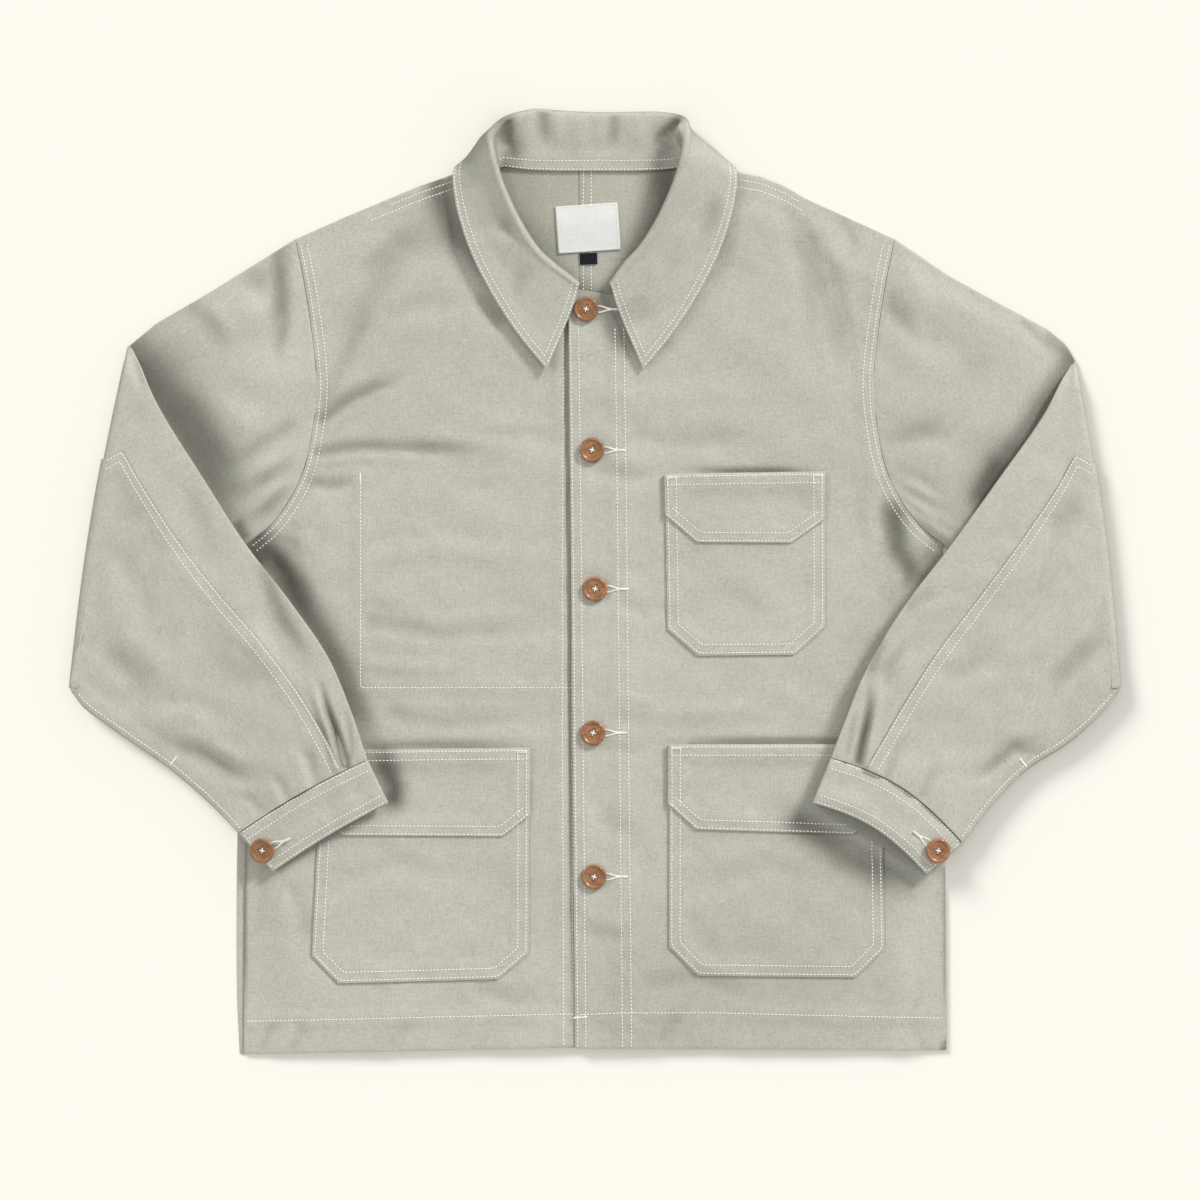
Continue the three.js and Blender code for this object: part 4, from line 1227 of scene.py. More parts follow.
@dataclass
class Body:
    """The two fronts and the two halves of the back, with their seams."""

    shape: BodyShape
    canvas: Material
    thread: Material
    collar_ends: Array
    centre_back: float = -13.0
    back_shows: float = 3.5
    over_hem: float = -16.0
    over_top: float = -21.5
    under_edge: float = 22.0
    neck_y: float = 232.0
    back_neck_y: float = 334.0
    cell: float = 3.5

    def side_edge(self, side: Side) -> Array:
        """The side seam and armhole of a panel, from the hem up."""
        shape, s = self.shape, side.value
        seam = [(s * shape.side_hem, shape.hem_at(side)), (s * shape.side_armpit, shape.armhole_knots[-1][1])]
        return np.concatenate([along_knots(seam, [9]), shape.armhole(side, np.array([*ACROSS[::-1], 0.0]))])

    def front(self, side: Side) -> Skin:
        """One front's upper side."""
        if side is Side.LEFT:
            hem, top = (self.over_hem, self.shape.hem[1]), (self.over_top, self.neck_y + 5.0)
            columns = [0, 0.14, 0.25, 0.42, 0.57, 0.7, 0.8, 0.86, 0.92, 0.97, 1]
        else:
            hem, top = (self.under_edge, self.shape.hem[1] + 1.5), (self.under_edge, self.neck_y)
            columns = [0, 0.16, 0.3, 0.44, 0.58, 0.7, 0.8, 0.86, 0.92, 0.97, 1]
        armpit = self.shape.armhole_knots[-1][1]
        centre = along_knots([hem, (mix(hem[0], top[0], 0.6), armpit), top], [9, 5])
        start = np.concatenate([centre, self.collar_ends * (side.value, 1.0)])
        plan = self.shape.bulged(plan_sheet(start, self.side_edge(side), columns, self.cell, (9, 14, 15)))
        x, y = plan[..., 0], plan[..., 1]
        return Skin.over(plan, self.shape.front_top(side, x, y), self.shape.front_painted_shade(side, x, y))

    def back(self, side: Side) -> Skin:
        """One half of the back, its upper side."""
        shape, s = self.shape, side.value
        seam = self.centre_back + s * SEAM / 2
        edge = self.side_edge(side)
        share = np.sin(np.pi * np.clip((edge[:9, 1] + 376.0) / 250.0, 0.0, 1.0)) ** 0.5
        edge[:9, 0] += s * (self.back_shows + 3.2 * share if side is Side.RIGHT else 0.8)
        knots = [(seam, shape.hem[1] + 1), (seam, 60), (seam, 268), (seam, self.back_neck_y)]
        neck = np.array([(s * x, self.back_neck_y) for x in (30, 54, 68)] + [(s * 77.5, 335.5)])
        start = np.concatenate([along_knots(knots, [9, 5, 4]), neck])
        plan = shape.bulged(plan_sheet(start, edge, [0, 0.15, 0.3, 0.45, 0.6, 0.8, 1], 5.0, (9, 18)))
        x, y = plan[..., 0], plan[..., 1]
        # Painted shade inside the back at the neck.
        return Skin.over(plan, shape.back_top(x, y), shaded(NECK_SHADES, x, y))

    def on_front(self, side: Side, line: list[tuple[float, float]] | Array) -> Array:
        """Lays a plan line on a front: points and normals, six numbers a row."""
        return laid_on(np.array(line, float), 2.0, lambda x, y: self.shape.front_top(side, x, y))

    def front_rows(self, side: Side) -> list[Array]:
        """Plan lines of the rows of stitches on one front."""
        s, (right, centre, left) = side.value, self.shape.hem
        rows = []
        if side is Side.LEFT:
            for d in (2.0, 8.5, 37.8, 45.0):
                top, bottom = self.over_top + d, self.over_hem + d
                rows.append([(top - 0.3, 214.0 if d < 30 else 205.0), (top + 1.9, 31.0), (bottom + 0.2, centre + 0.8)])
            hem = [(self.over_hem + 3, centre + 27), (20, centre + 28.5), (90, centre + 28.5), (279, left + 25.5)]
        else:
            rows += [[(x + 0.6, 222.0), (x, -100.0), (x + 1.0, centre + 2)] for x in (-26.2, -18.6)]
            hem = [(18, centre + 27.5), (-30, centre + 27.3), (-150, -347.5), (-279.5, right + 26.2)]
        rows.append(hem)
        arm = self.shape.armhole(side, np.linspace(0.02, 0.99, 60))
        along = unit(np.gradient(arm, axis=0))
        inwards = np.stack([along[:, 1], -along[:, 0]], axis=1)
        inwards = inwards * -np.sign(inwards[30, 0] * s)
        rows += [arm + inwards * d for d in (3.0, 8.2)]
        for d, end in ((4.6, 164.0), (10.6, 180.0 if side is Side.RIGHT else 166.0)):
            x = s * np.linspace(92.0, end, 40)
            rows.append(np.stack([x, self.shape.shoulder_y(x) - d - 1.2], axis=1))
        return rows

    def build(self) -> None:
        """Makes the four panels and sews them."""
        shape, thread = self.shape, Stitches("body_stitches")
        inner = Stitches("pocket_bag_stitches", seed=19)
        outside = Stitches("back_stitches", seed=23)
        for side, front_area, back_area in ((Side.RIGHT, 0.188, 0.173), (Side.LEFT, 0.186, 0.191)):
            rows = [thread.row(self.on_front(side, line)) for line in self.front_rows(side)]
            if side is Side.RIGHT:
                rows.append(inner.row(self.on_front(side, [(-188, 87.0), (-188, -83.2), (-18.4, -83.2)])))
                inner.satin(self.on_front(side, [(-188, 88.5), (-188, 81.0)]), 1.6)
            lies = Cut(0.305, 0.72, front_area, rests_on=(f"{side.word}_back_cloth",))
            cloth_piece(f"{side.word}_front", self.front(side), CLOTH, self.canvas, lies, rows)
            for line in self.back_rows(side):
                outside.row(laid_flat(line, 2.0, shape.back_under, -1.0))
            shown = [[(x, 332.0), (x, 150.0)] for x in (-9.4, -3.0)] if side is Side.LEFT else []
            shown = [thread.row(laid_flat(np.array(line), 2.0, shape.back_top)) for line in shown]
            cut = Cut(0.305, 0.72, back_area)
            cloth_piece(f"{side.word}_back", self.back(side), CLOTH, self.canvas, cut, shown)
        thread.satin(self.on_front(Side.LEFT, [(-16.8, -347.4), (-6.5, -346.8)]), 1.7)
        for made in (thread, inner, outside):
            made.build(self.thread)

    def back_rows(self, side: Side) -> list[Array]:
        """Plan lines of the rows on the outside of the back."""
        s = side.value
        rows = [np.array([(self.centre_back + s * 3, -347.0), (s * 279, self.shape.hem_at(side) + 26)])]
        if side is Side.LEFT:
            rows += [np.array([(x, 330.0), (x, -369.0)]) for x in (-10.5, -3.6)]
        arm = self.shape.armhole(side, np.linspace(0.03, 0.98, 60))
        rows += [arm - (s * d, 0.0) for d in (3.0, 8.2)]
        x = s * np.linspace(84.0, 232.0, 30)
        return rows + [np.stack([x, self.shape.shoulder_y(x) - d], axis=1) for d in (4.0, 10.5)]


# ---------------------------------------------------------------- the collar

COLLAR_ROWS = (
    (0, 331, 5.5, 0, 378, 5, 0, 300, 1.05, 0),
    (30, 331, 5.5, 32, 378, 5.1, 34, 300, 1.05, 0),
    (54, 332, 5.6, 56, 377, 6.5, 64, 303, 1.05, 8),
    (68, 334, 6, 70, 373, 13, 86, 313, 1.1, 30),
    (73, 335, 6.5, 76, 366, 20, 99, 331, 1.4, 52),
    (76, 334, 7, 79, 357, 25, 109.5, 335, 4, 72),
    (78, 327, 7.5, 77, 343, 28, 113.5, 327.5, 9.8, 85),
    (77, 315, 8, 73, 327, 27, 112, 308, 12, 90),
    (72, 298, 8, 66, 308, 25, 107, 287, 13, 90),
    (63, 279, 8, 56, 287, 21, 98, 262, 12.5, 90),
    (49, 260, 8, 43, 267, 17.5, 82, 231, 11.5, 90),
    (33, 244, 8, 28, 252, 15, 61, 199, 10.5, 90),
    (17, 232, 8, 13, 238, 13, 38.5, 171.5, 10, 90),
)
STAND_FOLDS = crease_rows(
    ((544, 108, 543, 128, 548, 152), 6, -2.2, 0.7, 0.6),
    ((613, 110, 613, 132, 607, 154), 6, -1.9, -0.7, 0.6),
    ((684, 114, 672, 128, 656, 142, 648, 152), 3.2, -2.6, 0.8),
    ((509, 122, 505, 136, 503, 152), 3.6, -2.6, 0.7),
    ((512, 150, 508, 142, 504, 138), 3, -1.5, 0.7),
    ((578, 112, 580, 134, 574, 156), 9, 1.3, 0.5, 0.6),
    ((640, 112, 636, 128, 642, 148), 8, 1.2, 0.5, 0.6),
)
LEAF_FOLDS = crease_rows(
    ((536, 246, 520, 232, 498, 222, 482, 224), 8, -1.8, 0.6, 0.7),
    ((470, 180, 486, 216, 500, 250), 9, 1, 0.5, 0.5),
    ((516, 300, 520, 280, 534, 268), 8, -1.2, 0.6, 0.5),
    ((632, 262, 650, 246, 662, 226), 7, -1.6, 0.6, 0.7),
    ((700, 180, 690, 222, 672, 262), 10, 1, 0.5, 0.5),
    ((660, 290, 668, 270, 690, 250), 9, -1, 0.6, 0.5),
)
# Painted shade in the collar's folds and beside its leaves.
COLLAR_SHADES = plain_rows(
    ((506, 124, 514, 148, 504, 172), 9, 0.7),
    ((684, 114, 668, 128, 650, 144), 5, 0.7),
    ((664, 146, 658, 162, 652, 178), 9, 0.45),
    ((494, 116, 470, 150, 456, 190), 11, 0.35),
)
NECK_CENTRE = np.array([0.0, 296.0])


def out_of_neck(x: float, y: float) -> Array:
    """Level direction outward from the neck at a point."""
    return unit(np.array([x, y]) - NECK_CENTRE)


def necklines() -> Array:
    """The neckline of a left front from the collar's end up to the shoulder, just outside the collar's seam."""
    off = DOUBLE_CLOTH / 2 + SEAM + 0.1
    rows = [np.array(row[:2], float) for row in COLLAR_ROWS[5:]][::-1]
    return np.array([p + out_of_neck(*p) * off for p in rows])


@dataclass
class Collar:
    """The collar, one doubled piece from its neck seam over the roll to the free edge."""

    canvas: Material
    thread: Material
    roll_back: float = 4.0
    roll_front: float = 3.2
    parts: tuple[int, int, int] = (9, 9, 16)
    cell: float = 3.6
    slip: float = 5.5

    @staticmethod
    def bezier(points: list[Array], count: int) -> Array:
        """Points of a cubic curve with these four controls."""
        t = np.linspace(0.0, 1.0, count + 1)[:, None]
        a, b, c, d = points
        return a * (1 - t) ** 3 + 3 * b * t * (1 - t) ** 2 + 3 * c * t * t * (1 - t) + d * t**3

    def section(self, row: Array, side: float) -> Array:
        """The middle of the cloth at one row, from the neck seam to the free edge.

        Args:
            row: neck seam, roll line, free edge and tilt.
            side: sign of X.

        Returns:
            Points of the section.
        """
        nx, ny, nz, rx, ry, rz, fx, fy, fz, tilt_deg = row
        seam, top, edge = (np.array([side * p[0], *p[1:]]) for p in ((nx, ny, nz), (rx, ry, rz), (fx, fy, fz)))
        tilt, standing = math.radians(tilt_deg), tilt_deg / 90
        out = np.append(out_of_neck(top[0], top[1]), 0.0)
        rise = out * math.cos(tilt) + UP * math.sin(tilt)
        to_stand = UP * math.cos(tilt) - out * math.sin(tilt)
        radius = mix(self.roll_back, self.roll_front, standing)
        centre = top - rise * radius
        turn = math.radians(mix(180.0, 125.0, standing))
        angles = np.linspace(0.0, turn, self.parts[1] + 1)[:, None]
        roll = centre + to_stand * radius * np.cos(angles) + rise * radius * np.sin(angles)
        leaves = rise * math.cos(turn) - to_stand * math.sin(turn)
        stand_reach = 0.3 * np.linalg.norm(seam - roll[0])
        fall_reach = 0.35 * np.linalg.norm(roll[-1] - edge)
        lands = unit((edge - roll[-1]) * (1.0, 1.0, 0.0))
        low = roll[-1] + leaves * fall_reach
        low[2] = max(low[2], edge[2])
        stand = self.bezier([seam, seam + rise * stand_reach, roll[0] - rise * stand_reach, roll[0]], self.parts[0])
        fall = self.bezier([roll[-1], low, edge - lands * fall_reach, edge], self.parts[2])
        return np.concatenate([stand[:-1], roll, fall[1:]])

    def middle(self) -> Array:
        """Rows and columns of points in the middle of the collar's cloth."""
        table = np.array(COLLAR_ROWS, float)
        across = [0, 3, 6]
        mirrored = table[:0:-1].copy()
        mirrored[:, across] *= -1.0
        points = []
        for row in refine(np.concatenate([mirrored, table]), self.cell, (), slice(0, 9)):
            side = -1.0 if row[0] < 0 else 1.0
            row[across] *= side
            points.append(self.section(row, side))
        middle = np.array(points)
        column, y = np.arange(middle.shape[1])[None], middle[..., 1]
        loose = ease(column / self.parts[0]) * ease((middle.shape[1] - 1 - column) / self.parts[2])
        middle[..., 0] -= self.slip * loose * ease((y - 236.0) / 26.0) * ease((376.0 - y) / 20.0)
        return middle

    def build(self) -> None:
        """Makes the collar and sews its edges."""
        middle = self.middle()
        flat = Skin(middle, cloth_grain(middle))
        up = flat.normals()
        outwards = up[-12, -12, 2] > 0
        up = up if outwards else -up
        x, y = middle[..., 0], middle[..., 1]
        column = np.arange(middle.shape[1])[None]
        stand = ease((self.parts[0] + 3 - column) / 3.0) * ease(column / 3.0) * ease((y - 335.0) / 6.0)
        leaf = ease((column - sum(self.parts[:2])) / 3.0) * ease((middle.shape[1] - 1 - column) / 5.0)
        roll = ease(np.minimum(column - 2, sum(self.parts[:2]) + 6 - column) / 5.0) * ease((y - 345.0) / 10.0)
        wave = Swell(58.0, 0.45, 77).at(x, y)
        dents = stand * heights(STAND_FOLDS, x, y) + leaf * (heights(LEAF_FOLDS, x, y) + wave)
        middle = middle + up * np.maximum(dents, -3.0)[..., None]
        middle[..., 2] = np.maximum(middle[..., 2], DOUBLE_CLOTH / 2 + 0.1)
        middle[..., 1] += roll * (2.0 * np.exp(-(((x + 47.0) / 17.0) ** 2)) - 1.0 * np.exp(-(((x - 12.0) / 30.0) ** 2)))
        # Painted shade: in the troughs of the folds, on the inner side of the stand and along the collar's lines of
        # shade.
        inner = ease((self.parts[0] + 2 - column) / 2.0) * ease((330.0 - y) / 20.0)
        shade_amount = shaded(COLLAR_SHADES, x, y, np.clip(trough_shade(dents, 0.3, 2.4, 0.24) + 0.2 * inner, 0.0, 1.0))
        skin = Skin(middle + up * DOUBLE_CLOTH / 2, flat.grain, shade_amount)
        thread = Stitches("collar_stitches", seed=31)
        lines = []
        for edge in (Edge.LAST_COLUMN, Edge.FIRST_ROW, Edge.LAST_ROW):
            for d in (1.6, 6.4):
                keep = slice(sum(self.parts[:2]) - 4, -int(d / 5) - 1)
                if edge is Edge.LAST_COLUMN:
                    keep = slice(int(d / self.cell) + 1, -int(d / self.cell) - 1)
                lines.append(skin.inset(edge, d)[keep])
        lines += [skin.inset(Edge.FIRST_COLUMN, d, 0.3, 0.7) for d in (1.2, 8.2)]
        lines = [thread.row(line if outwards else line * TURNED_OVER) for line in lines]
        cut = Cut(0.50, 0.125, 0.044, "folded", ("left_front_cloth", "right_front_cloth"))
        cloth_piece("collar", skin, DOUBLE_CLOTH, self.canvas, cut, lines)
        thread.build(self.thread)


# ---------------------------------------------------------------- sleeves

FOREARM_ROWS = {
    Side.RIGHT: (
        (-374.4, 191.2, -420, -84.8, 9.6, 9.6, 0.6, 0, 0.33, 0),
        (-365, 173.6, -416.6, -89.3, 11, 9.4, 1.4, 0, 0.257, 0),
        (-348, 140.8, -410.4, -97.6, 13, 9.2, 2.4, 0, 0.25, 0),
        (-312, 83.2, -392, -112, 15.5, 8.8, 3.4, 0, 0.255, 0),
        (-280, 33.6, -368, -128.8, 17.5, 8.4, 3.8, 0, 0.246, 0),
        (-241, -17, -341.6, -147.2, 18.5, 8, 3.8, 0, 0.241, 0),
        (-211.5, -61, -316, -168.8, 19, 8, 3.8, 0.1, 0.242, 0),
        (-194.5, -101.5, -298.4, -185.6, 19, 8.5, 3.6, 0.6, 0.22, 1.5),
        (-181.5, -140, -285.6, -199.2, 18.5, 9.5, 3.2, 1, 0.195, 3),
    ),
    Side.LEFT: (
        (384.8, 177.6, 420, -84.8, 9.6, 9.6, 0.6, 0, 0.31, 0),
        (374.4, 161.4, 416.6, -89.3, 11, 9.4, 1.4, 0, 0.235, 0),
        (356, 131.2, 410.4, -97.6, 13, 9.2, 2.4, 0, 0.24, 0),
        (326.4, 89.6, 394.4, -114.4, 15.5, 8.8, 3.4, 0, 0.25, 0),
        (284, 31.2, 373.6, -131.2, 17.5, 8.4, 3.8, 0, 0.257, 0),
        (244, -21.5, 348, -147.2, 18.5, 8, 3.8, 0, 0.275, 1.5),
        (214.5, -71.5, 326.4, -167.2, 19, 8.5, 4.4, 0.1, 0.28, 4),
        (200, -107.2, 308, -188.8, 19, 9.5, 5, 0.6, 0.264, 8),
        (188, -138.4, 294.4, -207.2, 19, 10.5, 6, 1, 0.24, 11),
    ),
}
CUFF_ROWS = {
    Side.RIGHT: (
        (-181.2, -140.5, -285.2, -199.7, 18.5, 10, 2.4, 3),
        (-173, -157.3, -272, -215, 18.5, 10, 2.6, 2.5),
        (-164.8, -174.4, -258.4, -230.4, 18.5, 10, 2.8, 2),
    ),
    Side.LEFT: (
        (187.7, -138.9, 294, -207.7, 19, 11, 5.6, 11),
        (180.4, -156.4, 280, -220.2, 19, 11.5, 7.4, 10),
        (172.8, -174.4, 265.6, -232.8, 19, 12, 9, 9.5),
    ),
}
ARM_BULGE = {
    Side.RIGHT: ((0, 0), (0.5, 1.2), (0.83, 3.6), (1, 0.5)),
    Side.LEFT: ((0, 0), (0.3, 0.5), (0.5, 4), (0.67, 7.5), (0.83, 10.5), (0.93, 9), (1, 3)),
}
SLEEVE_FOLDS = {
    Side.RIGHT: crease_rows(
        ((160, 742, 199, 752, 237, 775, 272, 784), 7, -2.4, 0.7, 0.4),
        ((150, 720, 190, 716, 236, 742), 8, 1.4, 0.5, 0.4),
        ((96, 640, 130, 668, 158, 712), 11, -1.8, 0.7, 0.4),
        ((88, 560, 118, 600, 132, 650), 13, 1.5, 0.6, 0.4),
        ((150, 470, 176, 560, 196, 620), 15, 1.6, 0.5, 0.3),
        ((262, 560, 282, 620, 318, 672), 8, -1.7, 0.7, 0.3),
        ((244, 610, 262, 652, 300, 700), 9, 1.5, 0.5, 0.3),
        ((344, 764, 338, 735, 326, 700, 318, 668), 3.6, -2.8, 0.9),
        ((352, 758, 352, 730, 345, 700), 3, -1.8, -0.6),
        ((318, 786, 310, 760, 296, 738), 5, -1.3),
        ((290, 800, 282, 784, 268, 770), 5, -1.2),
        ((150, 400, 168, 440, 200, 500), 9, 1, 0.5, 0.3),
        ((260, 810, 252, 800, 236, 792), 5, -1),
        ((200, 640, 236, 668, 280, 690), 12, -1.3, 0.6, 0.3),
        ((110, 500, 140, 520, 170, 530), 14, -0.9, 0.6, 0.3),
    ),
    Side.LEFT: crease_rows(
        ((1040, 752, 1012, 748, 985, 772, 960, 784), 6, -2.2, 0.7, 0.4),
        ((1048, 730, 1012, 736, 975, 752), 8, 1.3, 0.5, 0.4),
        ((1100, 640, 1066, 670, 1044, 708), 11, -1.8, 0.7, 0.4),
        ((1108, 560, 1076, 600, 1062, 650), 13, 1.5, 0.6, 0.4),
        ((1040, 480, 1012, 570, 986, 630), 15, 1.6, 0.5, 0.3),
        ((908, 640, 888, 668, 884, 700), 7, -1.6, 0.7, 0.3),
        ((858, 762, 863, 735, 868, 706, 872, 668), 3.6, -2.8, -0.9),
        ((846, 752, 852, 722, 858, 700), 3, -1.6),
        ((886, 776, 896, 750, 910, 726), 5, -1.3),
        ((920, 796, 926, 780, 940, 764), 5, -1.2),
        ((940, 590, 916, 600, 900, 622), 8, -1.4, 0.6, 0.3),
        ((1000, 640, 968, 664, 930, 690), 12, -1.3, 0.6, 0.3),
        ((1088, 500, 1060, 520, 1030, 530), 14, -0.9, 0.6, 0.3),
    ),
}
UPPER_ARM_FOLDS = {
    Side.RIGHT: crease_rows(
        ((118, 348, 158, 402, 196, 456, 224, 508, 240, 552), 24, -4.8, 0.7, 0.8),
        ((160, 380, 190, 424, 218, 468, 236, 510), 12, -1.6, 0, 0.4),
        ((276, 252, 279, 285, 280, 330, 276, 380), 6, -2.6, 0.8, 0.6),
        ((188, 300, 206, 322, 228, 348), 6.5, -2, 0.7),
        ((240, 482, 262, 470, 290, 452), 7, 2.2, 0.6, 0.8),
        ((252, 510, 272, 494, 292, 482), 6, 2, 0.6, 0.8),
        ((262, 536, 276, 520, 288, 506), 5, 1.8, 0.6, 0.8),
        ((216, 268, 240, 300, 262, 330, 268, 360), 12, 1.6, 0.6, 0.5),
        ((210, 400, 240, 420, 272, 424), 10, 1.4, 0.6, 0.5),
    ),
    Side.LEFT: crease_rows(
        ((1082, 362, 1044, 424, 1006, 486, 966, 550), 14, -4.4, -0.6, 0.8),
        ((1010, 452, 990, 480, 972, 506), 7, -2.4, 0),
        ((882, 262, 892, 300, 908, 330, 926, 350), 6, -1.5, 0.7, 0.7),
        ((900, 252, 916, 290, 940, 320), 8, 1.5, 0.5, 0.6),
        ((1026, 322, 1038, 336, 1050, 352), 5, -2.2, 0.7),
        ((892, 484, 918, 492, 944, 508), 5.5, 2, 0.6, 0.8),
        ((898, 500, 918, 508, 936, 522), 5, 1.9, 0.6, 0.8),
        ((890, 462, 920, 452, 958, 446), 9, 1.5, 0.6, 0.8),
        ((884, 438, 930, 428, 980, 408), 9, -0.6, 0.6, 0.5),
        ((930, 290, 970, 310, 1010, 320), 12, 1.2, 0.6, 0.4),
    ),
}
# Painted shade on the upper arms, beside the folded forearms and in their creases.
ARM_SHADES = {
    Side.RIGHT: plain_rows(
        ((134, 350, 174, 402, 208, 452, 232, 500, 246, 548), 18, 0.62),
        ((190, 410, 212, 448, 226, 484, 236, 520), 13, 0.2),
        ((130, 352, 154, 388, 182, 432, 210, 480, 232, 520, 244, 548), 11, 0.6),
        ((238, 526, 248, 545), 5, 0.9),
        ((160, 320, 200, 380, 240, 430), 42, 0.16),
        ((186, 300, 212, 330, 240, 356), 8, 0.3),
        ((284, 235, 283, 290, 280, 350), 8, 0.3),
        ((290, 424, 262, 440, 238, 462), 7, 0.28),
        ((288, 462, 264, 478, 248, 492), 6, 0.3),
        ((284, 490, 268, 506, 256, 520), 5, 0.3),
        ((276, 250, 278, 300, 276, 350), 6, 0.4),
    ),
    Side.LEFT: plain_rows(
        ((1076, 356, 1036, 414, 1000, 470, 970, 520, 946, 560), 9, 0.7),
        ((996, 466, 983, 490, 968, 514), 8, 1),
        ((1000, 450, 984, 484, 966, 516), 15, 0.4),
        ((1070, 356, 1052, 340, 1040, 330), 7, 0.4),
        ((880, 262, 892, 306, 916, 342), 6, 0.4),
    ),
}
# Painted shade in the pleats and creases of the forearms.
FOREARM_SHADES = {
    Side.RIGHT: plain_rows(
        ((345, 765, 336, 728, 320, 690), 3, 0.75),
        ((336, 766, 324, 730, 312, 706), 2.4, 0.6),
        ((264, 568, 284, 612, 322, 676), 6, 0.3),
    ),
    Side.LEFT: plain_rows(
        ((857, 760, 864, 730, 874, 690), 3, 0.75),
        ((872, 668, 880, 640, 888, 624), 5, 0.4),
    ),
}


def fullness(s: Array) -> Array:
    """How a flattened sleeve is filled out across, from 0 at its edges to 1 in the middle."""
    return np.sin(np.pi * np.clip(s, 0.0, 1.0)) ** 0.6


def rounded(s: Array, radius: float = 0.007) -> Array:
    """The round nose of a folded edge, from 0 at the edge to 1."""
    near = np.clip(np.minimum(s, 1.0 - s) / radius, 0.0, 1.0)
    return np.sqrt(1.0 - (1.0 - near) ** 2)


def across_shares(steps: int) -> Array:
    """Shares across a layer, closer together at its two edges."""
    edge = np.array([0.0, 0.0008, 0.0025, 0.005, 0.009, 0.016])
    inside = np.linspace(0.026, 0.974, steps)
    return np.concatenate([edge, inside, 1.0 - edge[::-1]])


def facing_up(line: Array) -> Array:
    """A line with its normals turned to the side that is seen from above."""
    return line * TURNED_OVER if np.median(line[:, 5]) < 0 else line


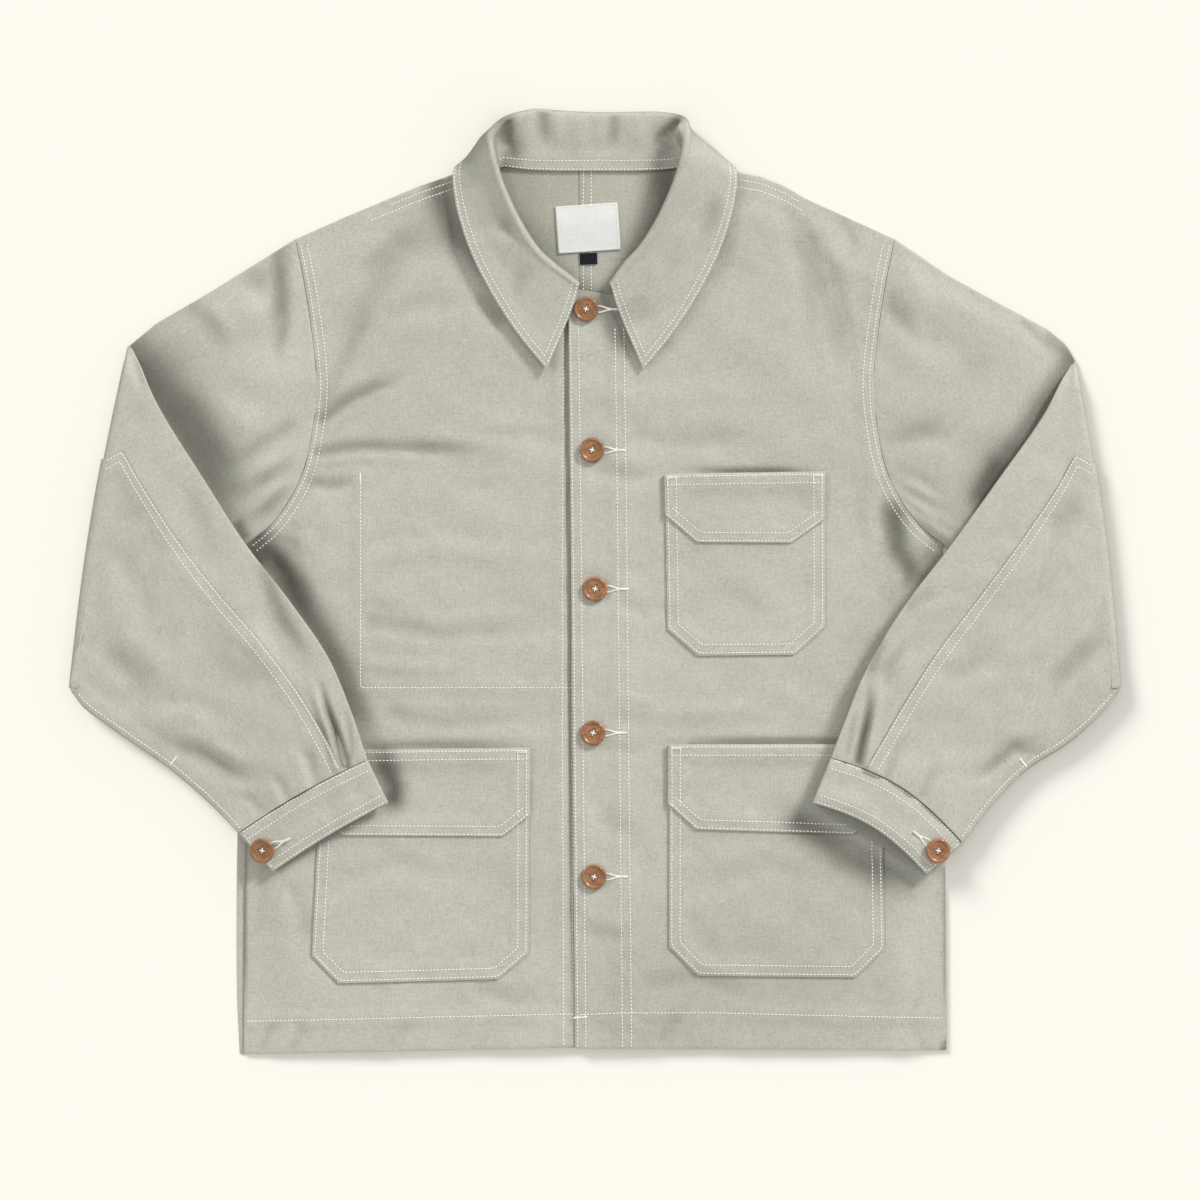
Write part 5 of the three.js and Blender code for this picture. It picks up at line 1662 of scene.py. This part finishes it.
@dataclass
class Sleeve:
    """One sleeve with its elbow patch and its cuff, folded in over the front."""

    side: Side
    body: BodyShape
    canvas: Material
    thread: Material
    fold_radius: float = 4.0
    fold_bow: float = 5.0
    corner: float = 0.12
    corner_reach: float = 0.09
    billow: float = 1.6
    extra_billow: float = 2.2
    upper_steps: int = 40
    fold_steps: int = 10
    across: int = 84
    pleat_at: float = 0.14
    pleat_depth: float = 1.6
    pleat_width: float = 0.022
    outline_fade: float = 22.0
    cell: float = 4.2

    @staticmethod
    def away(rows: Array) -> Array:
        """Level way back from the cuff end of these rows."""
        return np.append(unit(rows[-3, :2] - rows[-1, :2]), 0.0)

    def bulge(self, t: float, s: Array) -> Array:
        """How far the upper arm bows out at a share t of its length."""
        table = np.array(ARM_BULGE[self.side], float)
        much = np.interp(t, table[:, 0], table[:, 1]) * (1.0 - s) ** 3
        return much[:, None] * np.array([self.side.value * 0.5, 0.866, 0.0])

    def edges(self, row: Array, s: Array) -> Array:
        """Middle of a forearm section at each share across."""
        return mix(row[[0, 1, 4]], row[[2, 3, 5]], s[:, None])

    def sections(self, s: Array) -> tuple[Array, Array, Array, Array, Array]:
        """Every section of the sleeve at the shares s.

        Args:
            s: shares across the sleeve.

        Returns:
            Middles, half heights, normals, the forearm row or NaN for each, and the way back from the cuff.
        """
        side, table = self.side.value, np.array(FOREARM_ROWS[self.side], float)
        first, away = table[0], self.away(table)
        half_fold = CLOTH + (SEAM + first[6]) / 2
        inwards = np.array([-side, 0.0, 0.0])
        bow = self.fold_bow * np.sin(np.pi * s)
        radius = self.fold_radius * mix(self.corner, 1.0, ease(s / self.corner_reach))
        line = self.edges(first, s) + inwards * (radius + half_fold - bow)[:, None]
        seam = self.body.armhole(self.side, s)
        seam_z = (self.body.front_under(seam[:, 0], seam[:, 1]) + CLOTH) / 2
        ahead, behind = np.minimum(s + 0.01, 1.0), np.maximum(s - 0.01, 0.0)
        along = unit(self.body.armhole(self.side, ahead) - self.body.armhole(self.side, behind))
        clear = np.stack([side * -along[:, 1], side * along[:, 0]], axis=1) * (SEAM + 0.1)
        mids, halves, normals, rows, unseen = [], [], [], [], np.full(10, np.nan)
        for k in range(self.upper_steps):
            t = k / self.upper_steps
            half = mix(seam_z, half_fold, t) + self.billow * math.sin(math.pi * t) * fullness(s)
            plan = mix(np.append(seam + clear * (1 - t), np.zeros((len(s), 1)), axis=1), line, t) + self.bulge(t, s)
            plan[:, 2] = half
            mids.append(plan)
            halves.append(half)
            normals.append(UP)
            rows.append(unseen)
        for k in range(self.fold_steps + 1):
            angle = math.pi * k / self.fold_steps
            normal = UP * math.cos(angle) + inwards * math.sin(angle)
            mid = line.copy()
            mid[:, 2] = half_fold + radius
            mids.append(mid - normal * radius[:, None] + self.bulge(1.0, s) * (1 - k / self.fold_steps))
            halves.append(np.full(len(s), half_fold))
            normals.append(normal)
            rows.append(first if k >= self.fold_steps / 2 else unseen)
        forearm = refine(table, self.cell, (), slice(0, 6))
        forearm[:, 8] = refine(table, self.cell, (1,), slice(0, 6))[:, 8]
        drop = 2.0 * (self.fold_radius - radius)
        aside = (line - self.edges(first, s))[:, 0] * ease((0.30 - s) / 0.2)
        for k, row in enumerate(forearm[1:]):
            mid = self.edges(row, s)
            mid[:, 2] -= drop * ease(1.0 - (k + 1) / 8.0)
            mid[:, 0] += aside * ease(1.2 - k / 10.0)
            mids.append(mid)
            halves.append(CLOTH + SEAM / 2 + row[6] / 2 * fullness(s))
            normals.append(-UP)
            rows.append(row)
        return np.array(mids), np.array(halves), np.array(normals), np.array(rows), away

    def pleat(self, rows: Array, s: Array) -> Array:
        """Height of the pleat's ridge and trough on the layer that shows."""
        off = (s[None] - self.pleat_at) / self.pleat_width
        much = np.nan_to_num(rows[:, 7])[:, None] * self.pleat_depth
        return much * (0.6 * np.exp(-((off + 1.6) ** 2)) - np.exp(-off * off))

    def shown(self, s: Array, distance: float) -> tuple[Array, Array]:
        """The layer that shows beyond the fold, off its skin by a distance.

        Args:
            s: shares across.
            distance: from the sleeve's own outer skin.

        Returns:
            Points, and the forearm row of each section.
        """
        mids, halves, normals, rows, away = self.sections(s)
        short = np.nan_to_num(rows[:, 9])[:, None] * np.sin(np.pi * s)[None]
        reach = halves * rounded(s) + self.pleat(rows, s) + distance
        return mids + away * short[..., None] - normals[:, None] * reach[..., None], rows

    def relief(self, x: Array, y: Array) -> Array:
        """Height that the folds add to the forearm's shown layer, dying out at its outline."""
        table = np.array(FOREARM_ROWS[self.side], float)
        outline = (table[:, :2], table[:, 2:4], table[:1, :4].reshape(2, 2))
        fade = ease(np.minimum.reduce([nearest(line, x, y)[0] for line in outline]) / self.outline_fade)
        seed = 5 if self.side is Side.LEFT else 6
        waves = Swell(70.0, 0.45, seed).at(x, y) + Swell(27.0, 0.16, seed + 20).at(x, y)
        return fade * (heights(SLEEVE_FOLDS[self.side], x, y) + waves)

    def fold_in(self, points: Array, first: float) -> tuple[Array, Array]:
        """Adds the forearm's folds to its shown layer.

        Args:
            points: rows and columns of the layer, which are changed.
            first: row at which the folds begin.

        Returns:
            The painted shade at each point, in the troughs of the folds, and how much of the folds each row has.
        """
        lift = ease((np.arange(len(points)) - first) / 4.0)[:, None]
        x, y = points[..., 0], points[..., 1]
        low = trough_shade(heights(SLEEVE_FOLDS[self.side], x, y), 0.35, 2.4, 0.2) * lift
        points[..., 2] += lift * self.relief(x, y)
        return low, lift

    def tube(self) -> tuple[Skin, int, int]:
        """The sleeve's outer skin, all round.

        Returns:
            The skin, its first row beyond the fold, and the column of its lower edge.
        """
        s = across_shares(self.across)
        mids, halves, normals, _, _ = self.sections(s)
        row = np.arange(len(mids))
        hidden = mids + normals[:, None] * (halves * rounded(s))[..., None]
        shown, _ = self.shown(s, 0.0)
        armpit = np.array([self.side.value * self.body.side_armpit, 31.0])
        raised = shown[..., 2] + 1.5 * ease(1.6 - np.linalg.norm(shown[..., :2] - armpit, axis=2) / 12.0)
        shown[..., 2] = np.where(raised < hidden[..., 2], raised, shown[..., 2])
        x, y = hidden[..., 0], hidden[..., 1]
        dents = heights((*UPPER_ARM_FOLDS[self.side], Swell(60.0, 0.5, 41 + self.side.value)), x, y)
        much = (ease(row / 6.0) * ease((self.upper_steps - row) / 8.0))[:, None] * ease(np.minimum(s, 1.0 - s) / 0.08)
        billow = self.extra_billow * np.sin(np.pi * np.clip(row / self.upper_steps, 0.0, 1.0)) ** 0.7
        raised = hidden[..., 2] + much * (dents + billow[:, None])
        hidden[..., 2] = np.where(much > 0, np.maximum(raised, np.minimum(hidden[..., 2], 2.9)), hidden[..., 2])
        folded = self.upper_steps + self.fold_steps
        x_shown, y_shown = shown[..., 0], shown[..., 1]
        low, lift = self.fold_in(shown, folded)
        # Painted shade: along the forearm's lines of shade, and on the upper arm along its lines of shade and in the
        # troughs of its dents.
        low = shaded(FOREARM_SHADES[self.side], x_shown, y_shown, low)
        shade_amount = np.maximum(shaded(ARM_SHADES[self.side], x, y), trough_shade(dents, 0.4, 2.4, 0.16))
        shade_amount = shade_amount * ease(row / 2.0)[:, None] * (lift < 0.01)
        points = np.concatenate([hidden, shown[:, -2::-1]], axis=1)
        return Skin(points, cloth_grain(points), np.concatenate([shade_amount, low[:, -2::-1]], axis=1)), folded, len(s) - 1

    def patch(self) -> Skin:
        """The elbow patch's shown side."""
        start = self.upper_steps + self.fold_steps // 2
        fine = np.linspace(0.0, 1.0, 260)
        dense, rows = self.shown(fine, PATCH_GAP + CLOTH)
        shares = mix(rows[start:, 8][:, None], 0.993, np.linspace(0.0, 1.0, 60)[None])
        points = np.array([[np.interp(sh, fine, d[:, k]) for k in range(3)] for sh, d in zip(shares, dense[start:])])
        points = points.swapaxes(1, 2)
        # Painted shade in the troughs of the patch's folds.
        low, _ = self.fold_in(points, self.fold_steps / 2)
        return Skin(points, cloth_grain(points), low)

    def cuff(self) -> tuple[Skin, int]:
        """The cuff's outer skin, all round.

        Returns:
            The skin, and the column of its lower edge.
        """
        s = across_shares(40)
        rows = refine(np.array(CUFF_ROWS[self.side], float), 4.0, (), slice(0, 6))
        away = self.away(rows[[0, len(rows) // 2, -1]])
        shown, hidden = [], []
        for k, row in enumerate(rows):
            roll = 1.0 - 0.25 * (1.0 - ease(min(k, len(rows) - 1 - k) / 2.0))
            half = (DOUBLE_CLOTH + SEAM / 2 + row[6] / 2 * fullness(s)) * rounded(s, 0.016)
            mid = self.edges(row, s)
            bump = Swell(34.0, 0.28, 61 + self.side.value).at(mid[:, 0], mid[:, 1]) * ease(np.minimum(s, 1 - s) / 0.1)
            shown.append(mid + UP * (half * roll + bump)[:, None] + away * (row[7] * np.sin(np.pi * s))[:, None])
            hidden.append(mid - UP * half[:, None])
        points = np.concatenate([np.array(shown), np.array(hidden)[:, -2::-1]], axis=1)
        # Painted shade on the hidden layer, which shows inside the cuff's open end.
        painted_shade = np.broadcast_to(np.where(np.arange(points.shape[1]) < len(s), 0.0, 0.5), points.shape[:2])
        return Skin(points, cloth_grain(points), painted_shade), len(s) - 1

    def tack(self, patch: Skin) -> Array:
        """A short line across the sleeve's lower edge, where a bartack ends its felled seam."""
        middle = in_plan((168, 767))[0]
        middle[0] = abs(middle[0]) * self.side.value + (4.0 if self.side is Side.LEFT else 0.0)
        near = np.linalg.norm(patch.points[..., :2] - middle, axis=2)
        row = int(np.unravel_index(near.argmin(), near.shape)[0])
        normal = patch.normals()[row]
        line = np.concatenate([patch.points[row], normal * np.sign(normal[..., 2:])], axis=1)
        return resample(line[-6:-1], 1.0)

    def build(self) -> None:
        """Makes the sleeve, the patch and the cuff, and sews them."""
        word = self.side.word
        thread = Stitches(f"{word}_sleeve_stitches", seed=43 + self.side.value)
        tube, folded, lower = self.tube()
        patch = self.patch()
        cuff, cuff_lower = self.cuff()
        forearm = tube.part(slice(folded + 2, None), slice(lower, None))
        felled = [facing_up(forearm.inset(Edge.FIRST_COLUMN, d, 0.0, 0.985)) for d in (2.8, 9.0)]
        on_patch = [facing_up(patch.inset(Edge.FIRST_COLUMN, d, 0.04, 0.99)) for d in (1.2, 8.6)]
        on_patch.append(facing_up(patch.inset(Edge.LAST_COLUMN, 3.4, 0.13, 0.99)))
        shown_cuff = cuff.part(slice(None), slice(0, cuff_lower + 1))
        on_cuff = [
            facing_up(shown_cuff.inset(edge, d, 0.04, 0.96))
            for edge, d in ((Edge.FIRST_ROW, 1.2), (Edge.FIRST_ROW, 8.0), (Edge.LAST_ROW, 1.6), (Edge.LAST_ROW, 7.6))
        ]
        on_cuff.append(facing_up(shown_cuff.inset(Edge.LAST_COLUMN, 4.0, 0.05, 0.95)))
        for line in felled[:1] + on_patch + on_cuff:
            thread.row(line)
        thread.satin(self.tack(patch), 1.7)
        over_front, over_sleeve = (f"{word}_front_cloth",), (f"{word}_sleeve_cloth",)
        for part, skin, wall, cut, lines in (
            ("sleeve", tube, CLOTH, Cut(0.52, 0.60, 0.168, "folded", over_front), felled),
            ("elbow_patch", patch, CLOTH, Cut(0.20, 0.26, 0.031, "folded", over_sleeve), on_patch + felled),
            ("cuff", cuff, DOUBLE_CLOTH, Cut(0.24, 0.04, 0.0088, "laid", over_front), on_cuff),
        ):
            cloth_piece(f"{word}_{part}", skin, wall, self.canvas, cut, lines, closed=part != "elbow_patch")
        thread.build(self.thread)


# ---------------------------------------------------------------- pockets


@dataclass
class PatchPocket:
    """A patch pocket with the shaped facing across its mouth."""

    name: str
    side: Side
    bag_from: tuple
    bag_to: tuple
    facing_from: tuple
    facing_to: tuple
    cut: Cut
    facing_cut: Cut
    mouth_gap: float = 0.9
    cell: float = 3.4

    def top(self, body: BodyShape, x: Array, y: Array, layers: int) -> Array:
        """Height of the pocket's upper side, or of its facing's with two layers."""
        mouth = self.bag_from[0][1]
        left, right = sorted((self.bag_from[0][0], self.bag_to[0][0]))
        across = np.clip((x - left) / (right - left), 0.0, 1.0)
        gape = self.mouth_gap * (0.5 + 1.9 * np.sin(np.pi * across) ** 0.8)
        lift = gape * ease(1.0 - (mouth - y) / 26.0)
        return body.front_top(self.side, x, y) + lift + layers * (SEAM + CLOTH)

    def skin(self, body: BodyShape, start: tuple, end: tuple, steps: list[int], layers: int) -> Skin:
        """The shown side of the bag or the facing."""
        a, b = along_knots(start, steps), along_knots(end, steps)
        plan = body.bulged(plan_sheet(a, b, [k / 7 for k in range(8)], self.cell, (steps[0],)))
        x, y = plan[..., 0], plan[..., 1]
        # The front's broad lines of painted shade carry over the pocket.
        broad = tuple(c for c in FRONT_SHADES[self.side] if c.width > 5)
        return Skin.over(plan, self.top(body, x, y, layers), shaded(broad, x, y))

    def lay(self, body: BodyShape, line: list | Array, layers: int) -> Array:
        """Lays a plan line on the pocket: points and normals, six numbers a row."""
        return laid_on(np.array(line, float), 1.5, lambda x, y: self.top(body, x, y, layers))

    def build(self, body: BodyShape, canvas: Material, thread: Material) -> None:
        """Makes the bag and the facing and sews them.

        Args:
            body: what it lies on.
            canvas: the cloth's finish.
            thread: the thread's finish.
        """
        sewn = Stitches(f"{self.name}_stitches", seed=71 + len(self.name))
        s = self.side.value
        around = [*self.bag_from, *self.bag_to[::-1]]
        facing_line = [*self.facing_from[1:], *self.facing_to[:0:-1]]
        low_y = (self.facing_from[1][1] + self.facing_to[1][1]) / 2
        rows_bag, rows_facing = [], []
        for d in (2.2, 8.8):
            upper = inset_line(around, -s * d)
            ends = []
            for tip, next_one in ((upper[0], upper[1]), (upper[-1], upper[-2])):
                ends.append(np.array([tip, mix(tip, next_one, (tip[1] - low_y) / (tip[1] - next_one[1]))]))
            rows_bag.append(sewn.row(self.lay(body, [ends[0][1], *upper[1:-1], ends[1][1]], 1)))
            for part in ends:
                part[0, 1] -= 2.4
                rows_facing.append(sewn.row(self.lay(body, part, 2)))
        for d in (1.5, 7.9):
            rows_facing.append(sewn.row(self.lay(body, inset_line(facing_line, -s * d), 2)))
        for d in (2.4, 9.0):
            line = inset_line([self.facing_from[0], self.facing_to[0]], s * d)
            line[:, 0] = mix(line[:, 0], line[:, 0].mean(), 0.02)
            rows_facing.append(sewn.row(self.lay(body, line, 2)))
        for corner, way in ((self.bag_from[0], 1.0), (self.bag_to[0], -1.0)):
            x0, x1 = corner[0] + s * way * 2.0, corner[0] + s * way * 9.2
            y = corner[1] - 2.6
            for dy in (0.0, -1.1):
                sewn.satin(self.lay(body, [(x0, y + dy), (x1, y + dy)], 2), 1.0, 0.5)
            for x in (x0, x1):
                sewn.satin(self.lay(body, [(x, y), (x, y - 7.0)], 2), 0.9, 0.6)
        bag = self.skin(body, self.bag_from, self.bag_to, [6, 1], 1)
        facing = self.skin(body, self.facing_from, self.facing_to, [2, 1], 2)
        cloth_piece(self.name, bag, CLOTH, canvas, self.cut, rows_bag + rows_facing)
        cloth_piece(f"{self.name}_facing", facing, CLOTH, canvas, self.facing_cut, rows_facing)
        sewn.build(thread)


def pockets() -> list[PatchPocket]:
    """The three pockets with their corners in the plan."""
    hip, facing = Cut(0.172, 0.188, 0.0315), Cut(0.172, 0.072, 0.0117)
    return [
        PatchPocket(
            "chest_pocket", Side.LEFT,
            ((56, 88.3), (57.9, -36.2), (82.4, -57.6)), ((183.8, 90.2), (184.3, -34.7), (159.8, -56.8)),
            ((55.4, 88.3), (56, 55.2), (81.8, 33.2)), ((184.4, 90.2), (183.6, 51.5), (157.1, 32.8)),
            Cut(0.129, 0.147, 0.0182), Cut(0.129, 0.056, 0.0067),
        ),
        PatchPocket(
            "left_hip_pocket", Side.LEFT,
            ((59.4, -128.2), (59.2, -290.4), (82.2, -313.9)), ((229.6, -128), (231.6, -292.5), (208.7, -315.2)),
            ((58.6, -128.2), (58.2, -176), (81.2, -196.6)), ((230.4, -128), (230.4, -181), (206.7, -200.6)),
            hip, facing,
        ),
        PatchPocket(
            "right_hip_pocket", Side.RIGHT,
            ((-52.8, -131), (-53.2, -295.7), (-77.4, -316.5)), ((-218.4, -132.8), (-226.9, -297.6), (-205.2, -320)),
            ((-52, -131), (-52.4, -185.3), (-74, -202.2)), ((-219.2, -132.8), (-223.6, -187.5), (-202, -201.3)),
            hip, facing,
        ),
    ]


# ---------------------------------------------------------------- buttons and labels


FOUR_HOLES = ((-1, -1), (1, 1), (-1, 1), (1, -1))


@dataclass
class Buttons:
    """The four-hole buttons, turned and drilled, with their thread and their buttonholes."""

    body: BodyShape
    corozo: Material
    thread: Material
    profile: tuple = (
        (0.0, 0.0), (8.2, 0.0), (9.3, 0.35), (9.85, 1.0), (10.0, 1.7), (9.9, 2.5), (9.5, 3.1), (8.9, 3.4),
        (8.3, 3.4), (7.8, 3.15), (7.4, 2.7), (7.0, 2.5), (6.4, 2.45), (0.0, 2.35),
    )
    hole: float = 1.12
    pitch: float = 3.8
    reach: float = 27.0

    def turned(self) -> Mesh:
        """One button on the XY plane, in metres."""
        bm = bmesh.new()
        line = [bm.verts.new((r * MM, 0.0, z * MM)) for r, z in self.profile]
        edges = [bm.edges.new(pair) for pair in zip(line[:-1], line[1:])]
        bmesh.ops.spin(
            bm, geom=line + edges, cent=(0, 0, 0), axis=(0, 0, 1), angle=2 * math.pi, steps=48, use_merge=True
        )
        bmesh.ops.remove_doubles(bm, verts=bm.verts, dist=1e-6)
        bmesh.ops.recalc_face_normals(bm, faces=bm.faces)
        drills = bmesh.new()
        for sx, sy in FOUR_HOLES:
            place = Matrix.Translation((sx * self.pitch / 2 * MM, sy * self.pitch / 2 * MM, 1.5 * MM))
            bmesh.ops.create_cone(
                drills, cap_ends=True, segments=14, radius1=self.hole * MM, radius2=self.hole * MM,
                depth=8 * MM, matrix=place,
            )
        disc, tool = linked(mesh_of(bm, "turned_button")), linked(mesh_of(drills, "drills"))
        cutter = disc.modifiers.new("holes", "BOOLEAN")
        cutter.operation, cutter.object, cutter.solver = "DIFFERENCE", tool, "EXACT"
        made = bpy.data.meshes.new_from_object(disc.evaluated_get(bpy.context.evaluated_depsgraph_get()))
        for used in (disc, tool):
            bpy.data.objects.remove(used)
        return made

    def build(self, holes: dict[str, float]) -> None:
        """Puts a button where each of its solids is.

        Args:
            holes: for each node, the way in degrees in which its buttonhole runs from the button.
        """
        disc = self.turned()
        sewn = Stitches("button_thread", seed=97)
        for node, way in holes.items():
            solid = frame["nodes"][node]
            co = np.array([v.co for v in solid.data.vertices]) / MM
            middle = (co.min(0) + co.max(0)) / 2
            _, _, axes = np.linalg.svd(co - co.mean(0), full_matrices=False)
            up = axes[2] * np.sign(axes[2][2])
            aside = unit(np.cross(up, np.append(turned(1.0, 0.0, way), 0.0)))
            ahead = unit(np.cross(aside, up))
            base = middle + up * float(((co - middle) @ up).min())
            mesh = disc.copy()
            mesh.name = f"{node}_turned"
            turn = Matrix([[*row] for row in np.stack([ahead, aside, up], axis=1).tolist()]).to_4x4()
            spin = Matrix.Rotation(math.radians(-way + 2 * len(node)), 4, "Z")
            mesh.transform(Matrix.Translation(Vector(base * MM)) @ turn @ spin)
            mesh.shade_smooth()
            obj = linked(mesh)
            soft = obj.modifiers.new("edges", "BEVEL")
            soft.width, soft.segments, soft.limit_method, soft.angle_limit = 0.12 * MM, 2, "ANGLE", math.radians(40)
            finished(obj, self.corozo, (node,))
            spots = [spin @ Vector((sx * self.pitch / 2, sy * self.pitch / 2, 0.0)) for sx, sy in FOUR_HOLES]
            corners = [base + ahead * spot.x + aside * spot.y for spot in spots]
            for a, b in ((0, 1), (2, 3)):
                sewn.strand(corners[a] + up * 2.4, corners[b] + up * 2.5, up, 1.25)
            for corner in corners:
                sewn.strand(corner + up * 2.6, corner - up * 0.7, ahead, 1.0)
            front = "front" in node
            self.buttonhole(sewn, base - up * 0.5, ahead, aside, up, self.reach if front else 25.0, front)
        sewn.build(self.thread)

    def buttonhole(
        self, sewn: Stitches, base: Array, ahead: Array, aside: Array, up: Array, reach: float, front: bool
    ) -> None:
        """Works a buttonhole from under the button's edge out to its bar.

        Args:
            sewn: the stitches that it joins.
            base: the cloth under the button's middle.
            ahead: the way that the buttonhole runs.
            aside: the way across it.
            up: away from the cloth.
            reach: of the bar's end from the button's middle.
            front: whether it is worked in the left front, so that it lies on it.
        """
        def laid(line: Array) -> Array:
            """The line with its normals, on the front where there is one."""
            if front:
                line[:, 2] = self.body.front_top(Side.LEFT, line[:, 0], line[:, 1]) + 0.1
            return np.concatenate([line, np.broadcast_to(up, line.shape)], axis=1)

        for sign in (-1.0, 1.0):
            knots = [(2.0, 2.6), (9.0, 2.6), (12.0, 2.4), (16.5, 0.9), (reach * 0.72, 0.55)]
            line = np.array([base + ahead * a + aside * sign * b + up * 0.1 for a, b in knots])
            sewn.satin(laid(line), 1.5, 0.5)
        bar = np.array([base + ahead * a + up * 0.1 for a in (reach * 0.66, reach)])
        sewn.satin(laid(resample(bar, 3.0)), 2.2, 0.5)


@dataclass
class Labels:
    """The bare neck label and the bare size tab under it."""

    body: BodyShape
    white: Material
    black: Material
    thread: Material

    def height(self, x: Array, y: Array) -> Array:
        """Height of the tape's upper side."""
        return self.body.back_top(x, y) + SEAM + TAPE + Swell(22.0, 0.10, 90).at(x, y)

    def piece(
        self, node: str, centre: tuple[float, float], size: tuple[float, float], degrees: float,
        material: Material, cut: Cut,
    ) -> list[Array]:
        """Makes one rectangle of tape on the back.

        Args:
            node: the CAD node that it stands for.
            centre: its middle in the plan.
            size: its width and height.
            degrees: how far it is turned.
            material: its finish.
            cut: its flat size.

        Returns:
            Its four corners, and the first one again.
        """
        shares = ((-0.5, 0.5), (-0.5, -0.5), (0.5, 0.5), (0.5, -0.5))
        a, b, c, d = (turned(u * size[0], v * size[1], degrees) + centre for u, v in shares)
        plan = plan_sheet(along_knots([a, b], [8]), along_knots([c, d], [8]), [0, 0.5, 1], 2.0, ())
        skin = Skin.over(plan, self.height(plan[..., 0], plan[..., 1]))
        cloth_piece(node, skin, TAPE, material, cut, [])
        return [a, c, d, b, a]

    def build(self) -> None:
        """Makes both and sews them on."""
        sewn = Stitches("label_stitches", length=1.9, width=0.6, pitch=2.4, seed=101)
        on_back = ("left_back_cloth",)
        label, tab = Cut(0.050, 0.0376, 0.00188, "laid", on_back), Cut(0.014, 0.010, 0.000126, "laid", on_back)
        around = self.piece("label", (-5.6, 285.2), (50.0, 37.6), 4.0, self.white, label)
        self.piece("size_tab", (-5.2, 260.8), (14.0, 9.0), 2.0, self.black, tab)
        middle = np.array(around[:4]).mean(0)
        inner = [p + (middle - p) * 0.05 for p in around]
        for a, b in zip(inner[:-1], inner[1:]):
            sewn.row(laid_flat(np.array([a, b]), 1.5, self.height))
        sewn.build(self.thread)


# ---------------------------------------------------------------- the studio


@dataclass(frozen=True)
class Studio:
    """Camera, floor and light."""

    centre: tuple[float, float] = (0.004, -0.0128)
    height: float = 3.61
    lens: float = 135.0
    cloth_suns: tuple = (("window", 46.0, 27.0, 12.0, 0.37), ("fill", 160.0, 36.0, 24.0, 0.12))
    floor_suns: tuple = (("key", 132.0, 27.0, 20.0, 0.34), ("wash", 90.0, 80.0, 40.0, 0.16))
    sky: float = 0.60
    floor_height: float = -0.0004

    def camera(self) -> None:
        """Puts the camera straight above the jacket, as in the photograph."""
        data = bpy.data.cameras.new("camera")
        data.lens, data.sensor_width, data.clip_end = self.lens, 36.0, 50.0
        camera = bpy.data.objects.new("camera", data)
        camera.location = (*self.centre, self.height)
        bpy.context.scene.collection.objects.link(camera)
        bpy.context.scene.camera = camera

    def sun(
        self, lit: bpy.types.Collection, name: str, bearing: float, elevation: float, softness: float, share: float
    ) -> None:
        """Adds a distant lamp.

        Args:
            lit: what it lights.
            name: of the lamp.
            bearing: in the plan, in degrees from +X, of where it stands.
            elevation: over the floor, in degrees.
            softness: how wide it looks, in degrees.
            share: of the light on the floor that it gives.
        """
        round_it, over_it = math.radians(bearing), math.radians(elevation)
        data = bpy.data.lights.new(name, "SUN")
        data.angle = math.radians(softness)
        data.energy = share * math.pi / math.sin(over_it)
        lamp = bpy.data.objects.new(name, data)
        level = math.cos(over_it)
        away = Vector((level * math.cos(round_it), level * math.sin(round_it), math.sin(over_it)))
        lamp.location = away * 3.0
        lamp.rotation_euler = (-away).to_track_quat("-Z", "Y").to_euler()
        lamp.light_linking.receiver_collection = lit
        data.use_shadow = name != "wash"
        bpy.context.scene.collection.objects.link(lamp)

    def build(self) -> None:
        """Makes the floor and the lights."""
        self.camera()
        bm = bmesh.new()
        under = Matrix.Translation((0, 0, self.floor_height))
        bmesh.ops.create_grid(bm, x_segments=1, y_segments=1, size=4.0, matrix=under)
        floor = linked(mesh_of(bm, "floor"))
        floor.data.materials.append(Paper().material())
        ground, cloth = bpy.data.collections.new("ground"), bpy.data.collections.new("garment")
        ground.objects.link(floor)
        for obj in bpy.context.scene.objects:
            if obj.type == "MESH" and obj is not floor:
                cloth.objects.link(obj)
        for row in self.floor_suns:
            self.sun(ground, *row)
        for row in self.cloth_suns:
            self.sun(cloth, *row)
        world = bpy.data.worlds.new("studio")
        world.use_nodes = True
        glow = world.node_tree.nodes["Background"].inputs
        glow["Color"].default_value, glow["Strength"].default_value = (1.0, 1.0, 1.0, 1.0), self.sky
        bpy.context.scene.world = world
        bpy.context.scene.view_settings.view_transform = "Standard"
        bpy.context.scene.view_settings.look = "None"


def main() -> None:
    """Builds the jacket piece by piece."""
    logging.basicConfig(level=logging.INFO, format="%(name)s: %(message)s")
    weaves = Weaves()
    canvas, thread = Canvas().material(weaves), Thread().material()
    shape = BodyShape()
    Body(shape, canvas, thread, necklines()).build()
    Collar(canvas, thread).build()
    for side in Side:
        Sleeve(side, shape, canvas, thread).build()
    for pocket in pockets():
        pocket.build(shape, canvas, thread)
    ways = {f"front_button_{i}": 0.0 for i in range(1, 6)}
    ways.update(right_cuff_button=24.0, left_cuff_button=142.0)
    Buttons(shape, Corozo().material(), thread).build(ways)
    white = Tape("white_label_tape", (0.80, 0.80, 0.765, 1.0)).material(weaves)
    black = Tape("black_tape", (0.012, 0.013, 0.018, 1.0)).material(weaves)
    Labels(shape, white, black, thread).build()
    Studio().build()


if __name__ == "__main__":
    main()
